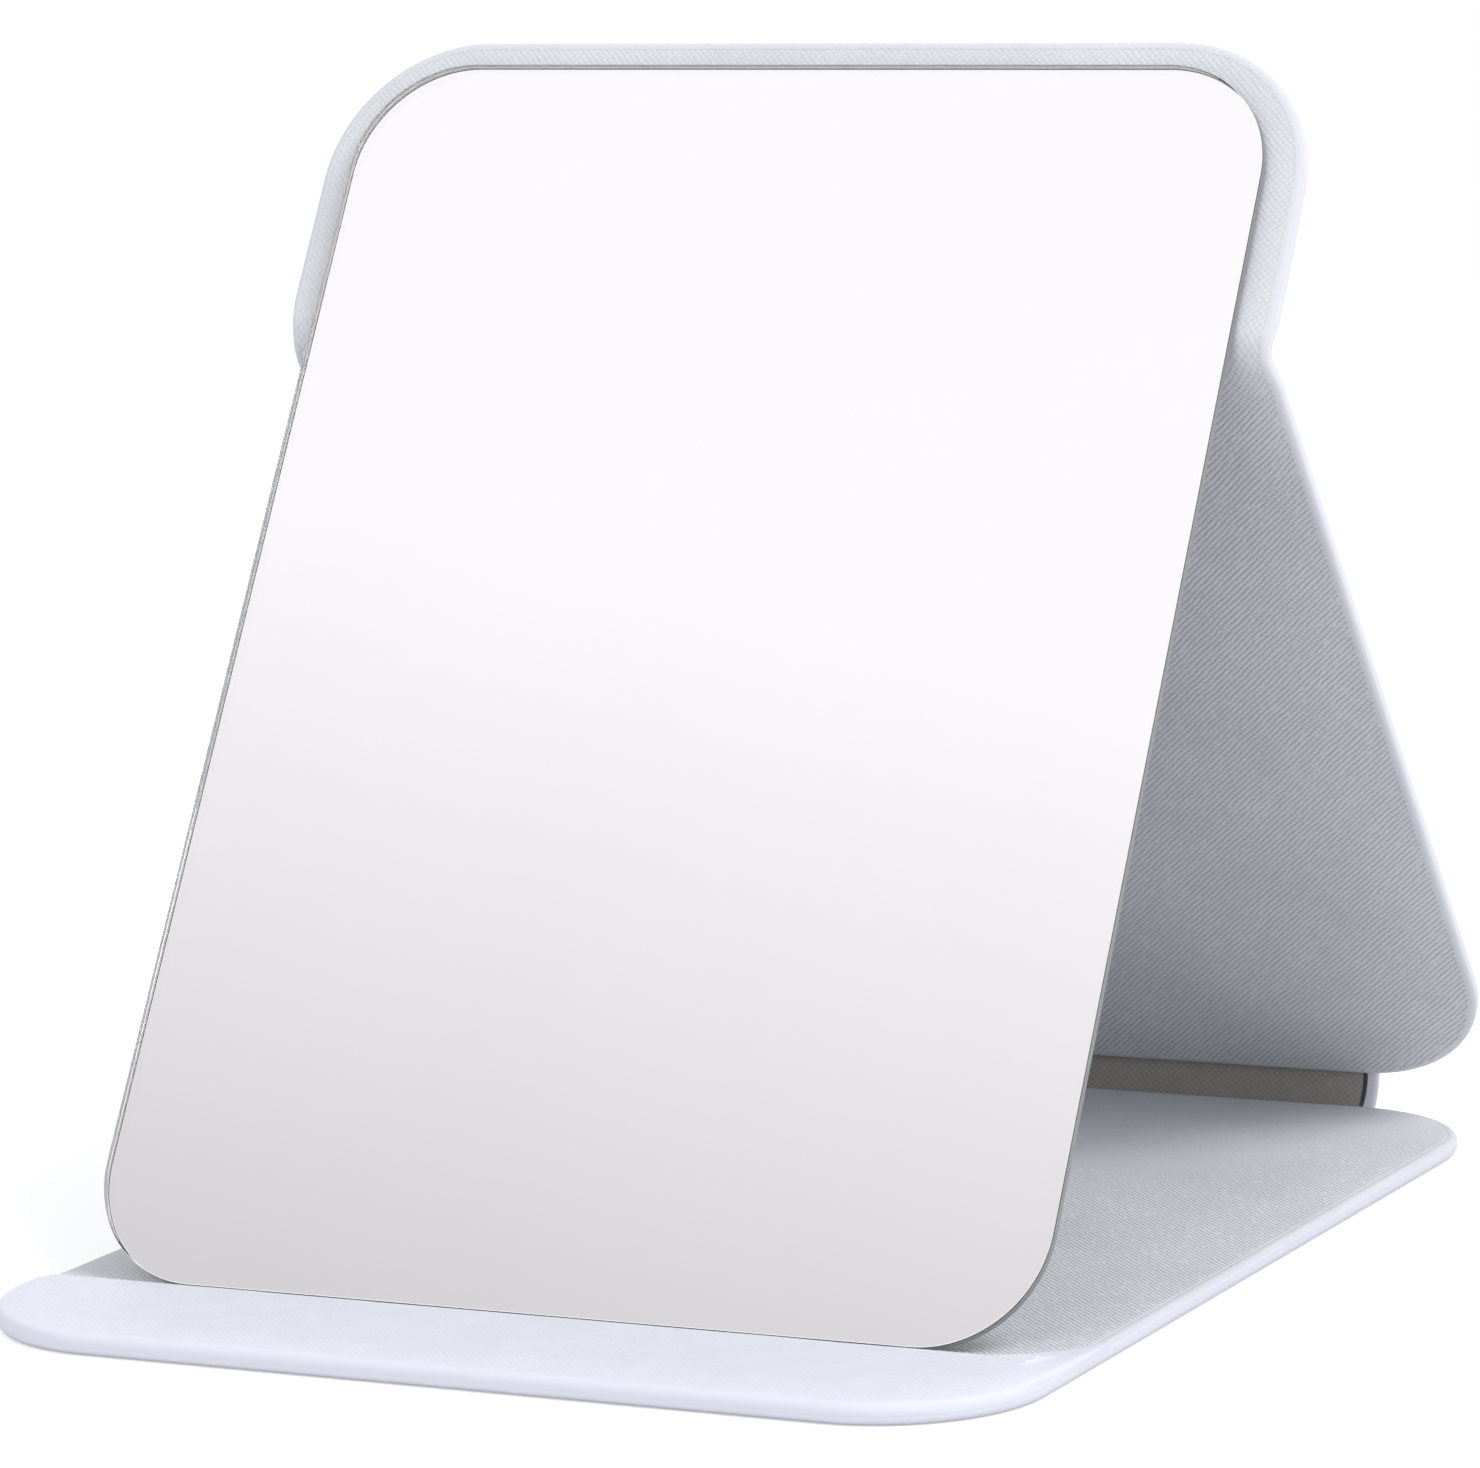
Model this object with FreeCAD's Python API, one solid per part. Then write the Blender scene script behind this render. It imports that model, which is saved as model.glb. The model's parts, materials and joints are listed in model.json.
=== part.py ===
import FreeCAD, Part
import math
import os

# A folding makeup mirror bound like a book. The front cover lies on the table as the base, a short soft
# spine joins it to the back cover, and the back cover is creased so that its top section tips back and
# carries a frameless glass. The foot of the glass stands on the base behind a raised lip.
# Millimetres. X runs across the cover, +Y to the rear, +Z up. The origin is the middle of the underside.

# Sizes of the covers
COVER_WIDTH = 165.0
BASE_LENGTH = 210.0
BACK_COVER_LENGTH = 213.2
TOP_SECTION_LENGTH = 51.1
CORNER_RADIUS = 24.0

# Layers of a cover, from the outside in, and its turned edge
OUTER_LEATHER = 0.7
BOARD = 1.5
LINING = 0.6
EDGE_RADIUS = 1.3
EDGE_TURN = 2.0

# Raised lip on the front of the base
LIP_WIDTH = 30.5
LIP_CORE = 0.9
LIP_EDGE_RADIUS = 0.9

# Soft spine and the fold lines beside it
SPINE_WIDTH = 121.0
SPINE_CHORD = 6.8
SPINE_BOW = 0.7
SPINE_RISE = 62.0
SPINE_LEATHER = 0.8
SPINE_LINING = 0.6
FOLD_GAP = 0.9
CREASE_GAP = 1.6

# Glass, its silver coat and the tape that holds it to the top section
GLASS_WIDTH = 153.6
GLASS_LENGTH = 201.8
GLASS_THICKNESS = 1.5
GLASS_RADIUS = 18.4
GLASS_CHAMFER = 0.3
GLASS_TOP_MARGIN = 5.2
SILVER_COAT = 0.1
SILVER_INSET = 0.6
TAPE_THICKNESS = 0.7
TAPE_LENGTH = 138.0
TAPE_WIDTH = 15.0
TAPE_FIRST = 5.0
TAPE_PITCH = 21.0

# Standing pose
MIRROR_TILT = 31.0
FOOT_GAP = 0.1

# Worked out from the sizes above
PANEL = OUTER_LEATHER + BOARD + LINING
HALF_PANEL = PANEL / 2
HALF_WIDTH = COVER_WIDTH / 2
BOARD_LOW = -HALF_PANEL + OUTER_LEATHER
BOARD_HIGH = BOARD_LOW + BOARD
BASE_FRONT = -BASE_LENGTH / 2
BASE_REAR = BASE_LENGTH / 2
LIP_REAR = BASE_FRONT + LIP_WIDTH
LIP_TOP = BOARD_HIGH + LIP_CORE + OUTER_LEATHER
SPINE_THICKNESS = SPINE_LEATHER + SPINE_LINING
BACK_SECTION_LENGTH = BACK_COVER_LENGTH - TOP_SECTION_LENGTH
GLASS_TOP = TOP_SECTION_LENGTH - GLASS_TOP_MARGIN
GLASS_FOOT = GLASS_TOP - GLASS_LENGTH
GLASS_BACK = HALF_PANEL + TAPE_THICKNESS + SILVER_COAT
TILT = math.radians(MIRROR_TILT)
RISE = math.radians(SPINE_RISE)

# Fold axes, all along X, as (Y, Z)
BASE_AXIS = (BASE_REAR + FOLD_GAP, HALF_PANEL)
BACK_AXIS = (
    BASE_AXIS[0] + SPINE_CHORD * math.cos(RISE),
    BASE_AXIS[1] + SPINE_CHORD * math.sin(RISE),
)
CREASE_HEIGHT = PANEL + FOOT_GAP - GLASS_FOOT * math.cos(TILT) - GLASS_BACK * math.sin(TILT)
BACK_LEAN = math.acos((CREASE_HEIGHT - BACK_AXIS[1]) / BACK_SECTION_LENGTH)
CREASE_AXIS = (BACK_AXIS[0] - BACK_SECTION_LENGTH * math.sin(BACK_LEAN), CREASE_HEIGHT)
BACK_ANGLE = 90.0 + math.degrees(BACK_LEAN)
TOP_ANGLE = 90.0 - MIRROR_TILT

# Arc of the spine, through both of its fold axes and bowed outwards
SPINE_RADIUS = (SPINE_CHORD ** 2 / 4 + SPINE_BOW ** 2) / (2 * SPINE_BOW)
SPINE_HALF_TURN = math.asin(SPINE_CHORD / 2 / SPINE_RADIUS)
SPINE_CENTRE = (
    (BASE_AXIS[0] + BACK_AXIS[0]) / 2 - (SPINE_RADIUS - SPINE_BOW) * math.sin(RISE),
    (BASE_AXIS[1] + BACK_AXIS[1]) / 2 + (SPINE_RADIUS - SPINE_BOW) * math.cos(RISE),
)
SPINE_MIDDLE = RISE - math.pi / 2
SPINE_STIFF_TURN = SPINE_HALF_TURN - FOLD_GAP / SPINE_RADIUS

X_AXIS = FreeCAD.Vector(1, 0, 0)
ORIGIN = FreeCAD.Vector(0, 0, 0)
SAME = 1e-6
FAR = 500.0


def corner_arc(centre_x, centre_y, radius, start, z):
    """Quarter circle from the start angle, counter-clockwise, in a level plane."""
    points = []
    for step in range(3):
        angle = start + step * math.pi / 4
        points.append(FreeCAD.Vector(centre_x + radius * math.cos(angle), centre_y + radius * math.sin(angle), z))
    return Part.Arc(*points).toShape()


def rounded_plate(half_width, y_low, y_high, radius_low, radius_high, z_low, z_high):
    """Flat plate with its own corner radius at each end; a radius of zero leaves square corners."""
    corners = (
        (half_width, y_low, radius_low, -math.pi / 2),
        (half_width, y_high, radius_high, 0.0),
        (-half_width, y_high, radius_high, math.pi / 2),
        (-half_width, y_low, radius_low, math.pi),
    )
    arcs = []
    ends = []
    for x, y, radius, start in corners:
        if radius > 0:
            centre_x = x - math.copysign(radius, x)
            centre_y = y + radius if y == y_low else y - radius
            arc = corner_arc(centre_x, centre_y, radius, start, z_low)
            arcs.append(arc)
            ends.append((arc.firstVertex(True).Point, arc.lastVertex(True).Point))
        else:
            corner = FreeCAD.Vector(x, y, z_low)
            ends.append((corner, corner))
    edges = list(arcs)
    for index, (_, leave) in enumerate(ends):
        arrive = ends[(index + 1) % len(ends)][0]
        edges.append(Part.LineSegment(leave, arrive).toShape())
    wire = Part.Wire(Part.__sortEdges__(edges))
    return Part.Face(wire).extrude(FreeCAD.Vector(0, 0, z_high - z_low))


def round_level_edges(solid, levels, radius, square_ends=()):
    """Round the edges that lie level at the given heights, apart from those along a square end."""
    chosen = []
    for edge in solid.Edges:
        box = edge.BoundBox
        level = any(abs(box.ZMin - z) < SAME and abs(box.ZMax - z) < SAME for z in levels)
        along_end = any(abs(box.YMin - y) < SAME and abs(box.YMax - y) < SAME for y in square_ends)
        if level and not along_end:
            chosen.append(edge)
    return solid.makeFillet(radius, chosen)


def slab(y_low, y_high, z_low, z_high, half_width):
    """Plain block across the part."""
    corner = FreeCAD.Vector(-half_width, y_low, z_low)
    return Part.makeBox(2 * half_width, y_high - y_low, z_high - z_low, corner)


def rod(axis, radius, half_width):
    """Round bar along X on a fold axis."""
    return Part.makeCylinder(radius, 2 * half_width, FreeCAD.Vector(-half_width, axis[0], axis[1]), X_AXIS)


def placed(shape, axis, angle):
    """Copy of a shape drawn about its own fold axis, turned about X and moved to where the axis lies."""
    copy = shape.copy()
    copy.rotate(ORIGIN, X_AXIS, angle)
    copy.translate(FreeCAD.Vector(0, axis[0], axis[1]))
    return copy


def spine_band(inner_radius, outer_radius, turn_low, turn_high, half_width):
    """Curved strip of the spine between two turns, measured along its arc from the middle."""
    def point(radius, turn):
        angle = SPINE_MIDDLE + turn
        y = SPINE_CENTRE[0] + radius * math.cos(angle)
        z = SPINE_CENTRE[1] + radius * math.sin(angle)
        return FreeCAD.Vector(-half_width, y, z)

    turn_mid = (turn_low + turn_high) / 2
    outer = Part.Arc(*[point(outer_radius, turn) for turn in (turn_low, turn_mid, turn_high)]).toShape()
    inner = Part.Arc(*[point(inner_radius, turn) for turn in (turn_low, turn_mid, turn_high)]).toShape()
    low = Part.LineSegment(point(inner_radius, turn_low), point(outer_radius, turn_low)).toShape()
    high = Part.LineSegment(point(inner_radius, turn_high), point(outer_radius, turn_high)).toShape()
    wire = Part.Wire(Part.__sortEdges__([outer, high, inner, low]))
    return Part.Face(wire).extrude(FreeCAD.Vector(2 * half_width, 0, 0))


def panel_layer(y_low, y_high, radius_low, radius_high, z_low, z_high):
    """Layer that fills a cover inside its turned edge."""
    inner_low = max(radius_low - EDGE_TURN, 0.0)
    inner_high = max(radius_high - EDGE_TURN, 0.0)
    return rounded_plate(
        HALF_WIDTH - EDGE_TURN, y_low + EDGE_TURN, y_high - EDGE_TURN, inner_low, inner_high, z_low, z_high
    )


def outer_cover(y_low, y_high, radius_low, radius_high):
    """Leather skin of a cover: its outside and the turned edge all round, open where board and lining lie."""
    block = rounded_plate(HALF_WIDTH, y_low, y_high, radius_low, radius_high, -HALF_PANEL, HALF_PANEL)
    square_ends = [y for y, radius in ((y_low, radius_low), (y_high, radius_high)) if radius == 0]
    block = round_level_edges(block, (-HALF_PANEL, HALF_PANEL), EDGE_RADIUS, square_ends)
    return block.cut(panel_layer(y_low, y_high, radius_low, radius_high, BOARD_LOW, HALF_PANEL))


def cover_pieces(name, y_low, y_high, radius_low, radius_high):
    """Outer leather, board and lining of one cover, drawn about its own fold axis."""
    reach = (y_low, y_high, radius_low, radius_high)
    return {
        name + "_outer_cover": outer_cover(*reach),
        name + "_board": panel_layer(*reach, BOARD_LOW, BOARD_HIGH),
        name + "_lining": panel_layer(*reach, BOARD_HIGH, HALF_PANEL),
    }


def base_pieces():
    """Front cover that lies on the table, with the raised lip along its front edge."""
    reach = (BASE_FRONT, BASE_REAR, CORNER_RADIUS, CORNER_RADIUS)
    pieces = cover_pieces("base", *reach)
    behind_lip = slab(LIP_REAR, FAR, -FAR, FAR, FAR)
    pieces["base_lining"] = pieces["base_lining"].common(behind_lip)
    core_room = slab(-FAR, LIP_REAR - OUTER_LEATHER, -FAR, FAR, FAR)
    core = panel_layer(*reach, BOARD_HIGH, BOARD_HIGH + LIP_CORE).common(core_room)
    skin = rounded_plate(HALF_WIDTH, *reach, BOARD_HIGH, LIP_TOP)
    skin = skin.common(slab(-FAR, LIP_REAR, -FAR, FAR, FAR))
    skin = round_level_edges(skin, (LIP_TOP,), LIP_EDGE_RADIUS)
    pieces["lip_core"] = core
    pieces["lip_cover"] = skin.cut(core).cut(pieces["base_outer_cover"])
    return {name: placed(shape, (0.0, HALF_PANEL), 0.0) for name, shape in pieces.items()}


def back_pieces():
    """Lower section of the back cover, from the spine up to the crease."""
    pieces = cover_pieces("back", FOLD_GAP, BACK_SECTION_LENGTH - CREASE_GAP, CORNER_RADIUS, 0.0)
    return {name: placed(shape, BACK_AXIS, BACK_ANGLE) for name, shape in pieces.items()}


def top_pieces():
    """Top section of the back cover, above the crease, which carries the glass."""
    pieces = cover_pieces("top", CREASE_GAP, TOP_SECTION_LENGTH, 0.0, CORNER_RADIUS)
    return {name: placed(shape, CREASE_AXIS, TOP_ANGLE) for name, shape in pieces.items()}


def glass_pieces():
    """Frameless glass with its silver coat, and the two tape strips that hold it to the top section."""
    half = GLASS_WIDTH / 2
    front = GLASS_BACK + GLASS_THICKNESS
    glass = rounded_plate(half, GLASS_FOOT, GLASS_TOP, GLASS_RADIUS, GLASS_RADIUS, GLASS_BACK, front)
    rim = [e for e in glass.Edges if abs(e.BoundBox.ZMin - front) < SAME and abs(e.BoundBox.ZMax - front) < SAME]
    coat_radius = GLASS_RADIUS - SILVER_INSET
    pieces = {"mirror_glass": glass.makeChamfer(GLASS_CHAMFER, rim)}
    pieces["mirror_silver_coat"] = rounded_plate(
        half - SILVER_INSET, GLASS_FOOT + SILVER_INSET, GLASS_TOP - SILVER_INSET,
        coat_radius, coat_radius, GLASS_BACK - SILVER_COAT, GLASS_BACK,
    )
    for index, name in enumerate(("mirror_tape_lower", "mirror_tape_upper")):
        low = TAPE_FIRST + index * TAPE_PITCH
        pieces[name] = slab(low, low + TAPE_WIDTH, HALF_PANEL, HALF_PANEL + TAPE_THICKNESS, TAPE_LENGTH / 2)
    return {name: placed(shape, CREASE_AXIS, TOP_ANGLE) for name, shape in pieces.items()}


def spine_pieces():
    """Curved spine of two leathers, without a board."""
    half = SPINE_WIDTH / 2
    middle = SPINE_RADIUS - SPINE_THICKNESS / 2 + SPINE_LINING
    outside = middle + SPINE_LEATHER
    inside = middle - SPINE_LINING
    return {
        "spine_outer_cover": spine_band(middle, outside, -SPINE_STIFF_TURN, SPINE_STIFF_TURN, half),
        "spine_lining": spine_band(inside, middle, -SPINE_STIFF_TURN, SPINE_STIFF_TURN, half),
    }


def spine_fold(axis, tab, turn_low, turn_high, neighbour):
    """Soft fold line beside the spine: a flat tab from a cover, a round bend on the axis and a start of arc."""
    half = SPINE_WIDTH / 2
    thin = SPINE_THICKNESS / 2
    bend = rod(axis, thin, half)
    start = spine_band(SPINE_RADIUS - thin, SPINE_RADIUS + thin, turn_low, turn_high, half)
    return tab.fuse([bend, start]).removeSplitter().cut(neighbour)


def fold_pieces(base, back):
    """The three fold lines of the leather: base to spine, spine to back cover, and the crease."""
    half = SPINE_WIDTH / 2
    thin = SPINE_THICKNESS / 2
    base_tab = placed(slab(-FOLD_GAP - EDGE_RADIUS, 0.0, -thin, thin, half), BASE_AXIS, 0.0)
    back_tab = placed(slab(0.0, FOLD_GAP + EDGE_RADIUS, -thin, thin, half), BACK_AXIS, BACK_ANGLE)
    return {
        "base_fold": spine_fold(
            BASE_AXIS, base_tab, -SPINE_HALF_TURN, -SPINE_STIFF_TURN, base["base_outer_cover"]
        ),
        "back_fold": spine_fold(
            BACK_AXIS, back_tab, SPINE_STIFF_TURN, SPINE_HALF_TURN, back["back_outer_cover"]
        ),
        "crease_fold": crease_fold(),
    }


def crease_fold():
    """Full width fold between the lower and the top section of the back cover, as thick as they are."""
    below = slab(-CREASE_GAP, 0.0, -HALF_PANEL, HALF_PANEL, HALF_WIDTH)
    above = slab(0.0, CREASE_GAP, -HALF_PANEL, HALF_PANEL, HALF_WIDTH)
    sides = []
    for block in (below, above):
        edges = [e for e in block.Edges if e.BoundBox.YLength > SAME]
        sides.append(block.makeFillet(EDGE_RADIUS, edges))
    bend = rod((0.0, 0.0), HALF_PANEL, HALF_WIDTH)
    rims = [e for e in bend.Edges if e.BoundBox.XLength < SAME]
    bend = bend.makeFillet(EDGE_RADIUS, rims)
    lower = placed(sides[0], CREASE_AXIS, BACK_ANGLE)
    upper = placed(sides[1], CREASE_AXIS, TOP_ANGLE)
    return placed(bend, CREASE_AXIS, 0.0).fuse([lower, upper]).removeSplitter()


def all_pieces():
    """Every piece of the mirror in its standing pose, by name."""
    base = base_pieces()
    back = back_pieces()
    pieces = dict(base)
    pieces.update(spine_pieces())
    pieces.update(back)
    pieces.update(top_pieces())
    pieces.update(glass_pieces())
    pieces.update(fold_pieces(base, back))
    return pieces


os.makedirs("parts", exist_ok=True)
for node, solid in all_pieces().items():
    solid.exportStep("parts/" + node + ".step")
    print(node, "solids", len(solid.Solids), "valid", solid.isValid(), "volume", round(solid.Volume, 2))
print("base axis", BASE_AXIS, "back axis", BACK_AXIS, "crease axis", CREASE_AXIS)
print("turn to lie flat: spine", SPINE_RISE, "back", BACK_ANGLE - SPINE_RISE, "crease", BACK_ANGLE - TOP_ANGLE)
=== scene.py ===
"""Folding makeup mirror bound like a book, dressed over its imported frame.

The covers, their linings, the spine and the glass are sheets that are laid out flat, shaped there and
then bent along the line that they follow in side view, so that the grain runs round every fold with the
leather. Sizes are in millimetres until a sheet is bent into place, which also brings it to metres.
"""
import json
import logging
import math
from collections.abc import Callable, Iterable
from dataclasses import dataclass, field, replace
from enum import Enum
from functools import cache

import bmesh
import bpy
from mathutils import Matrix, Vector, noise


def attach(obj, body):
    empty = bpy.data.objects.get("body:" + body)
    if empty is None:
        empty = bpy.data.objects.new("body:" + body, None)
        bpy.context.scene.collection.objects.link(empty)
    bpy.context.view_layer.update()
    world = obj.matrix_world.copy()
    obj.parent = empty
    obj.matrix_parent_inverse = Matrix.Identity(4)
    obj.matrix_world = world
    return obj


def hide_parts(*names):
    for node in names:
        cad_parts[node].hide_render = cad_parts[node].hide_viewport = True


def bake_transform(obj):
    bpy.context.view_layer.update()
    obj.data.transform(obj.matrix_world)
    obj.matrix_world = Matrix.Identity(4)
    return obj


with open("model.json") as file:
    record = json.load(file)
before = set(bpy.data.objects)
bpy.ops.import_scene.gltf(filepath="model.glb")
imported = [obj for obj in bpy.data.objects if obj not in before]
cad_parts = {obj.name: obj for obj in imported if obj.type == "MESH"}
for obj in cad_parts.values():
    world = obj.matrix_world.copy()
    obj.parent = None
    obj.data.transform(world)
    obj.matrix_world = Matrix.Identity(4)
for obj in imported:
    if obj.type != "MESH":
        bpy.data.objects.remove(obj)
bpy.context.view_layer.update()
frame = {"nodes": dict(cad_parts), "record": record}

log = logging.getLogger("folding_mirror")

MM = 0.001
SAME = 1e-4
SNAP = 0.02
LEVEL = 0.99
SHARP_FROM = math.radians(40.0)
SHEET = "sheet"
WHITE = (1.0, 1.0, 1.0)
ACROSS = Vector((1.0, 0.0, 0.0))
ALONG = Vector((0.0, 1.0, 0.0))

Colour = tuple[float, float, float]
Input = bpy.types.NodeSocket | float | Colour
Element = bmesh.types.BMVert | bmesh.types.BMEdge | bmesh.types.BMFace


class Body(Enum):
    """Bodies of the frame that the pieces ride on."""

    BASE = "base_cover"
    SPINE = "spine"
    BACK = "back_cover"
    MIRROR = "mirror_panel"


class Slot(Enum):
    """Material slots of the record that the new pieces take."""

    OUTER = "outer_leather"
    LINING = "lining_leather"
    BOARD = "grey_board"
    SILVER = "silver_coat"
    GLASS = "glass"


class Side(Enum):
    """The two faces of a sheet: the one that shows inside the open book, and the one outside."""

    INNER = 1
    OUTER = -1


class Hand(Enum):
    """The two ends of a sheet across its width."""

    LEFT = -1
    RIGHT = 1


# Shapes of sheets


def ease(share: float) -> float:
    """Smooth step from 0 to 1, flat at both ends."""
    held = min(1.0, max(0.0, share))
    return held * held * (3.0 - 2.0 * held)


def spaced(low: float, high: float, step: float) -> list[float]:
    """Evenly spaced places from low to high, about one step apart."""
    count = max(1, round((high - low) / step))
    return [low + (high - low) * index / count for index in range(count + 1)]


@dataclass(frozen=True)
class Leg:
    """Stretch of a sheet in side view: its length, and how far it turns over that length in radians."""

    length: float
    turn: float = 0.0


@dataclass(frozen=True)
class SheetPath:
    """Line that the middle of a sheet follows in side view, from a start and a heading from +Y."""

    start: tuple[float, float]
    heading: float
    legs: tuple[Leg, ...]

    @property
    def length(self) -> float:
        """Length of the whole line."""
        return sum(leg.length for leg in self.legs)

    def place(self, flat: Vector) -> Vector:
        """Find where a point of the flat sheet comes to lie.

        Args:
            flat: Millimetres across, along and out of the flat sheet.

        Returns:
            The point in the frame, in metres.
        """
        y, z = self.start
        heading = self.heading
        ahead = flat.y
        for leg in self.legs:
            step = ahead if leg is self.legs[-1] else min(ahead, leg.length)
            half_turn = leg.turn * step / leg.length / 2
            chord = step * math.sin(half_turn) / half_turn if half_turn else step
            y += chord * math.cos(heading + half_turn)
            z += chord * math.sin(heading + half_turn)
            heading += 2 * half_turn
            ahead -= step
            if ahead <= 0:
                break
        y -= flat.z * math.sin(heading)
        z += flat.z * math.cos(heading)
        return Vector((flat.x, y, z)) * MM


@dataclass(frozen=True)
class Outline:
    """Plan of a flat sheet: half its width, its two ends, and the corner radius at each end."""

    half_width: float
    low: float
    high: float
    low_radius: float
    high_radius: float

    def shrunk(self, margin: float) -> "Outline":
        """The same plan with every edge moved inwards by a margin."""
        return Outline(
            self.half_width - margin, self.low + margin, self.high - margin,
            max(self.low_radius - margin, 0.0), max(self.high_radius - margin, 0.0),
        )

    def depth_inside(self, flat: Vector) -> float:
        """Find how far inside the plan a point lies.

        Args:
            flat: A point of the flat sheet.

        Returns:
            Its distance from the nearest edge, negative outside.
        """
        middle = (self.low + self.high) / 2
        radius = self.low_radius if flat.y < middle else self.high_radius
        across = abs(flat.x) - self.half_width + radius
        along = abs(flat.y - middle) - (self.high - self.low) / 2 + radius
        beyond = math.hypot(max(across, 0.0), max(along, 0.0))
        return radius - beyond - min(max(across, along), 0.0)


class SheetMesh:
    """Flat plate under work: X across, Y along and Z out towards the inner side, in millimetres."""

    def __init__(
        self, outline: Outline, floor: float, top: float, corner_steps: int = 20
    ) -> None:
        """Raise a plate from its plan.

        Args:
            outline: Plan of the plate.
            floor: Height of its outer face.
            top: Height of its inner face.
            corner_steps: Faces round each corner of the plan.
        """
        self.outline = outline
        self.mesh = bmesh.new()
        middle = (outline.low + outline.high) / 2
        size = (2 * outline.half_width, outline.high - outline.low, 1.0)
        bmesh.ops.create_grid(self.mesh, x_segments=1, y_segments=1, size=0.5)
        bmesh.ops.scale(self.mesh, verts=self.mesh.verts[:], vec=size)
        bmesh.ops.translate(self.mesh, verts=self.mesh.verts[:], vec=(0.0, middle, floor))
        self._round_corners(corner_steps)
        grown = bmesh.ops.extrude_face_region(self.mesh, geom=self.mesh.faces[:])["geom"]
        lifted = [item for item in grown if isinstance(item, bmesh.types.BMVert)]
        bmesh.ops.translate(self.mesh, verts=lifted, vec=(0.0, 0.0, top - floor))
        bmesh.ops.recalc_face_normals(self.mesh, faces=self.mesh.faces[:])

    def _round_corners(self, steps: int) -> None:
        """Round the corners of the flat plan at both of its ends.

        Args:
            steps: Faces round each corner.
        """
        plan = self.outline
        for end, radius in ((plan.low, plan.low_radius), (plan.high, plan.high_radius)):
            corners = [vert for vert in self.mesh.verts if abs(vert.co.y - end) < SAME]
            if radius > 0:
                bmesh.ops.bevel(
                    self.mesh, geom=corners, offset=radius, offset_type="OFFSET", segments=steps,
                    profile=0.5, affect="VERTICES", material=-1,
                )

    def face_on(self, side: Side) -> bmesh.types.BMFace:
        """The largest face that looks straight out of one side."""
        level = [face for face in self.mesh.faces if face.normal.z * side.value > LEVEL]
        return max(level, key=lambda face: face.calc_area())

    def round_edges(self, edges: list[bmesh.types.BMEdge], radius: float, steps: int) -> None:
        """Round some edges with a number of faces across the rounding."""
        bmesh.ops.bevel(
            self.mesh, geom=edges, offset=radius, offset_type="OFFSET", segments=steps,
            profile=0.5, affect="EDGES", material=-1,
        )

    def round_rim(
        self, side: Side, radius: float, steps: int, square_end: float | None = None
    ) -> None:
        """Round the rim of one side.

        Args:
            side: The side whose rim is rounded.
            radius: Radius of the rounding.
            steps: Faces across the rounding.
            square_end: Place along the sheet of an end that keeps its sharp edge.
        """
        rim = self.face_on(side).edges[:]
        if square_end is not None:
            rim = [
                edge for edge in rim if any(abs(vert.co.y - square_end) >= SAME for vert in edge.verts)
            ]
        self.round_edges(rim, radius, steps)

    def sink(self, side: Side, inset: float, depth: float) -> None:
        """Draw in the face of one side and push it into the plate by a depth."""
        bmesh.ops.inset_region(
            self.mesh, faces=[self.face_on(side)], thickness=inset, depth=-depth, use_even_offset=True
        )

    def cut(self, axis: Vector, places: Iterable[float]) -> None:
        """Add lines across the mesh.

        Args:
            axis: Direction that the cuts stand square to.
            places: Where along that direction they lie.
        """
        for place in places:
            self._bisect(self.mesh.verts[:] + self.mesh.edges[:] + self.mesh.faces[:], axis, place)

    def cut_face(self, side: Side, axis: Vector, places: Iterable[float]) -> None:
        """Add lines across the largest face of one side alone.

        Args:
            side: The side with the face.
            axis: Direction that the cuts stand square to.
            places: Where along that direction they lie.
        """
        for place in places:
            face = self.face_on(side)
            self._bisect([*face.verts, *face.edges, face], axis, place)

    def _bisect(self, items: list[Element], axis: Vector, place: float) -> None:
        """Cut some items of the mesh at one place along an axis."""
        bmesh.ops.bisect_plane(self.mesh, geom=items, dist=SNAP, plane_co=axis * place, plane_no=axis)

    def move(self, shift: Callable[[Vector], Vector]) -> None:
        """Move every point to where a function sends it."""
        for vert in self.mesh.verts:
            vert.co = shift(vert.co)

    def stamp(self) -> None:
        """Keep the flat place of every point as an attribute, which the grain follows."""
        layer = self.mesh.verts.layers.float_vector.new(SHEET)
        for vert in self.mesh.verts:
            vert[layer] = vert.co

    def bend(self, path: SheetPath) -> None:
        """Lay the sheet along its line and bring it to metres."""
        self.move(path.place)

    def to_piece(self, name: str, materials: list[bpy.types.Material]) -> bpy.types.Object:
        """Make the finished piece.

        Args:
            name: Name of the piece.
            materials: Its materials, in the order of the faces' numbers.

        Returns:
            The new object, at the origin.
        """
        data = bpy.data.meshes.new(name)
        self.mesh.to_mesh(data)
        self.mesh.free()
        for material in materials:
            data.materials.append(material)
        data.shade_smooth()
        data.set_sharp_from_angle(angle=SHARP_FROM)
        piece = bpy.data.objects.new(name, data)
        bpy.context.scene.collection.objects.link(piece)
        even = piece.modifiers.new("Even normals", "WEIGHTED_NORMAL")
        even.keep_sharp = True
        return piece


# Finishes


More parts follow.
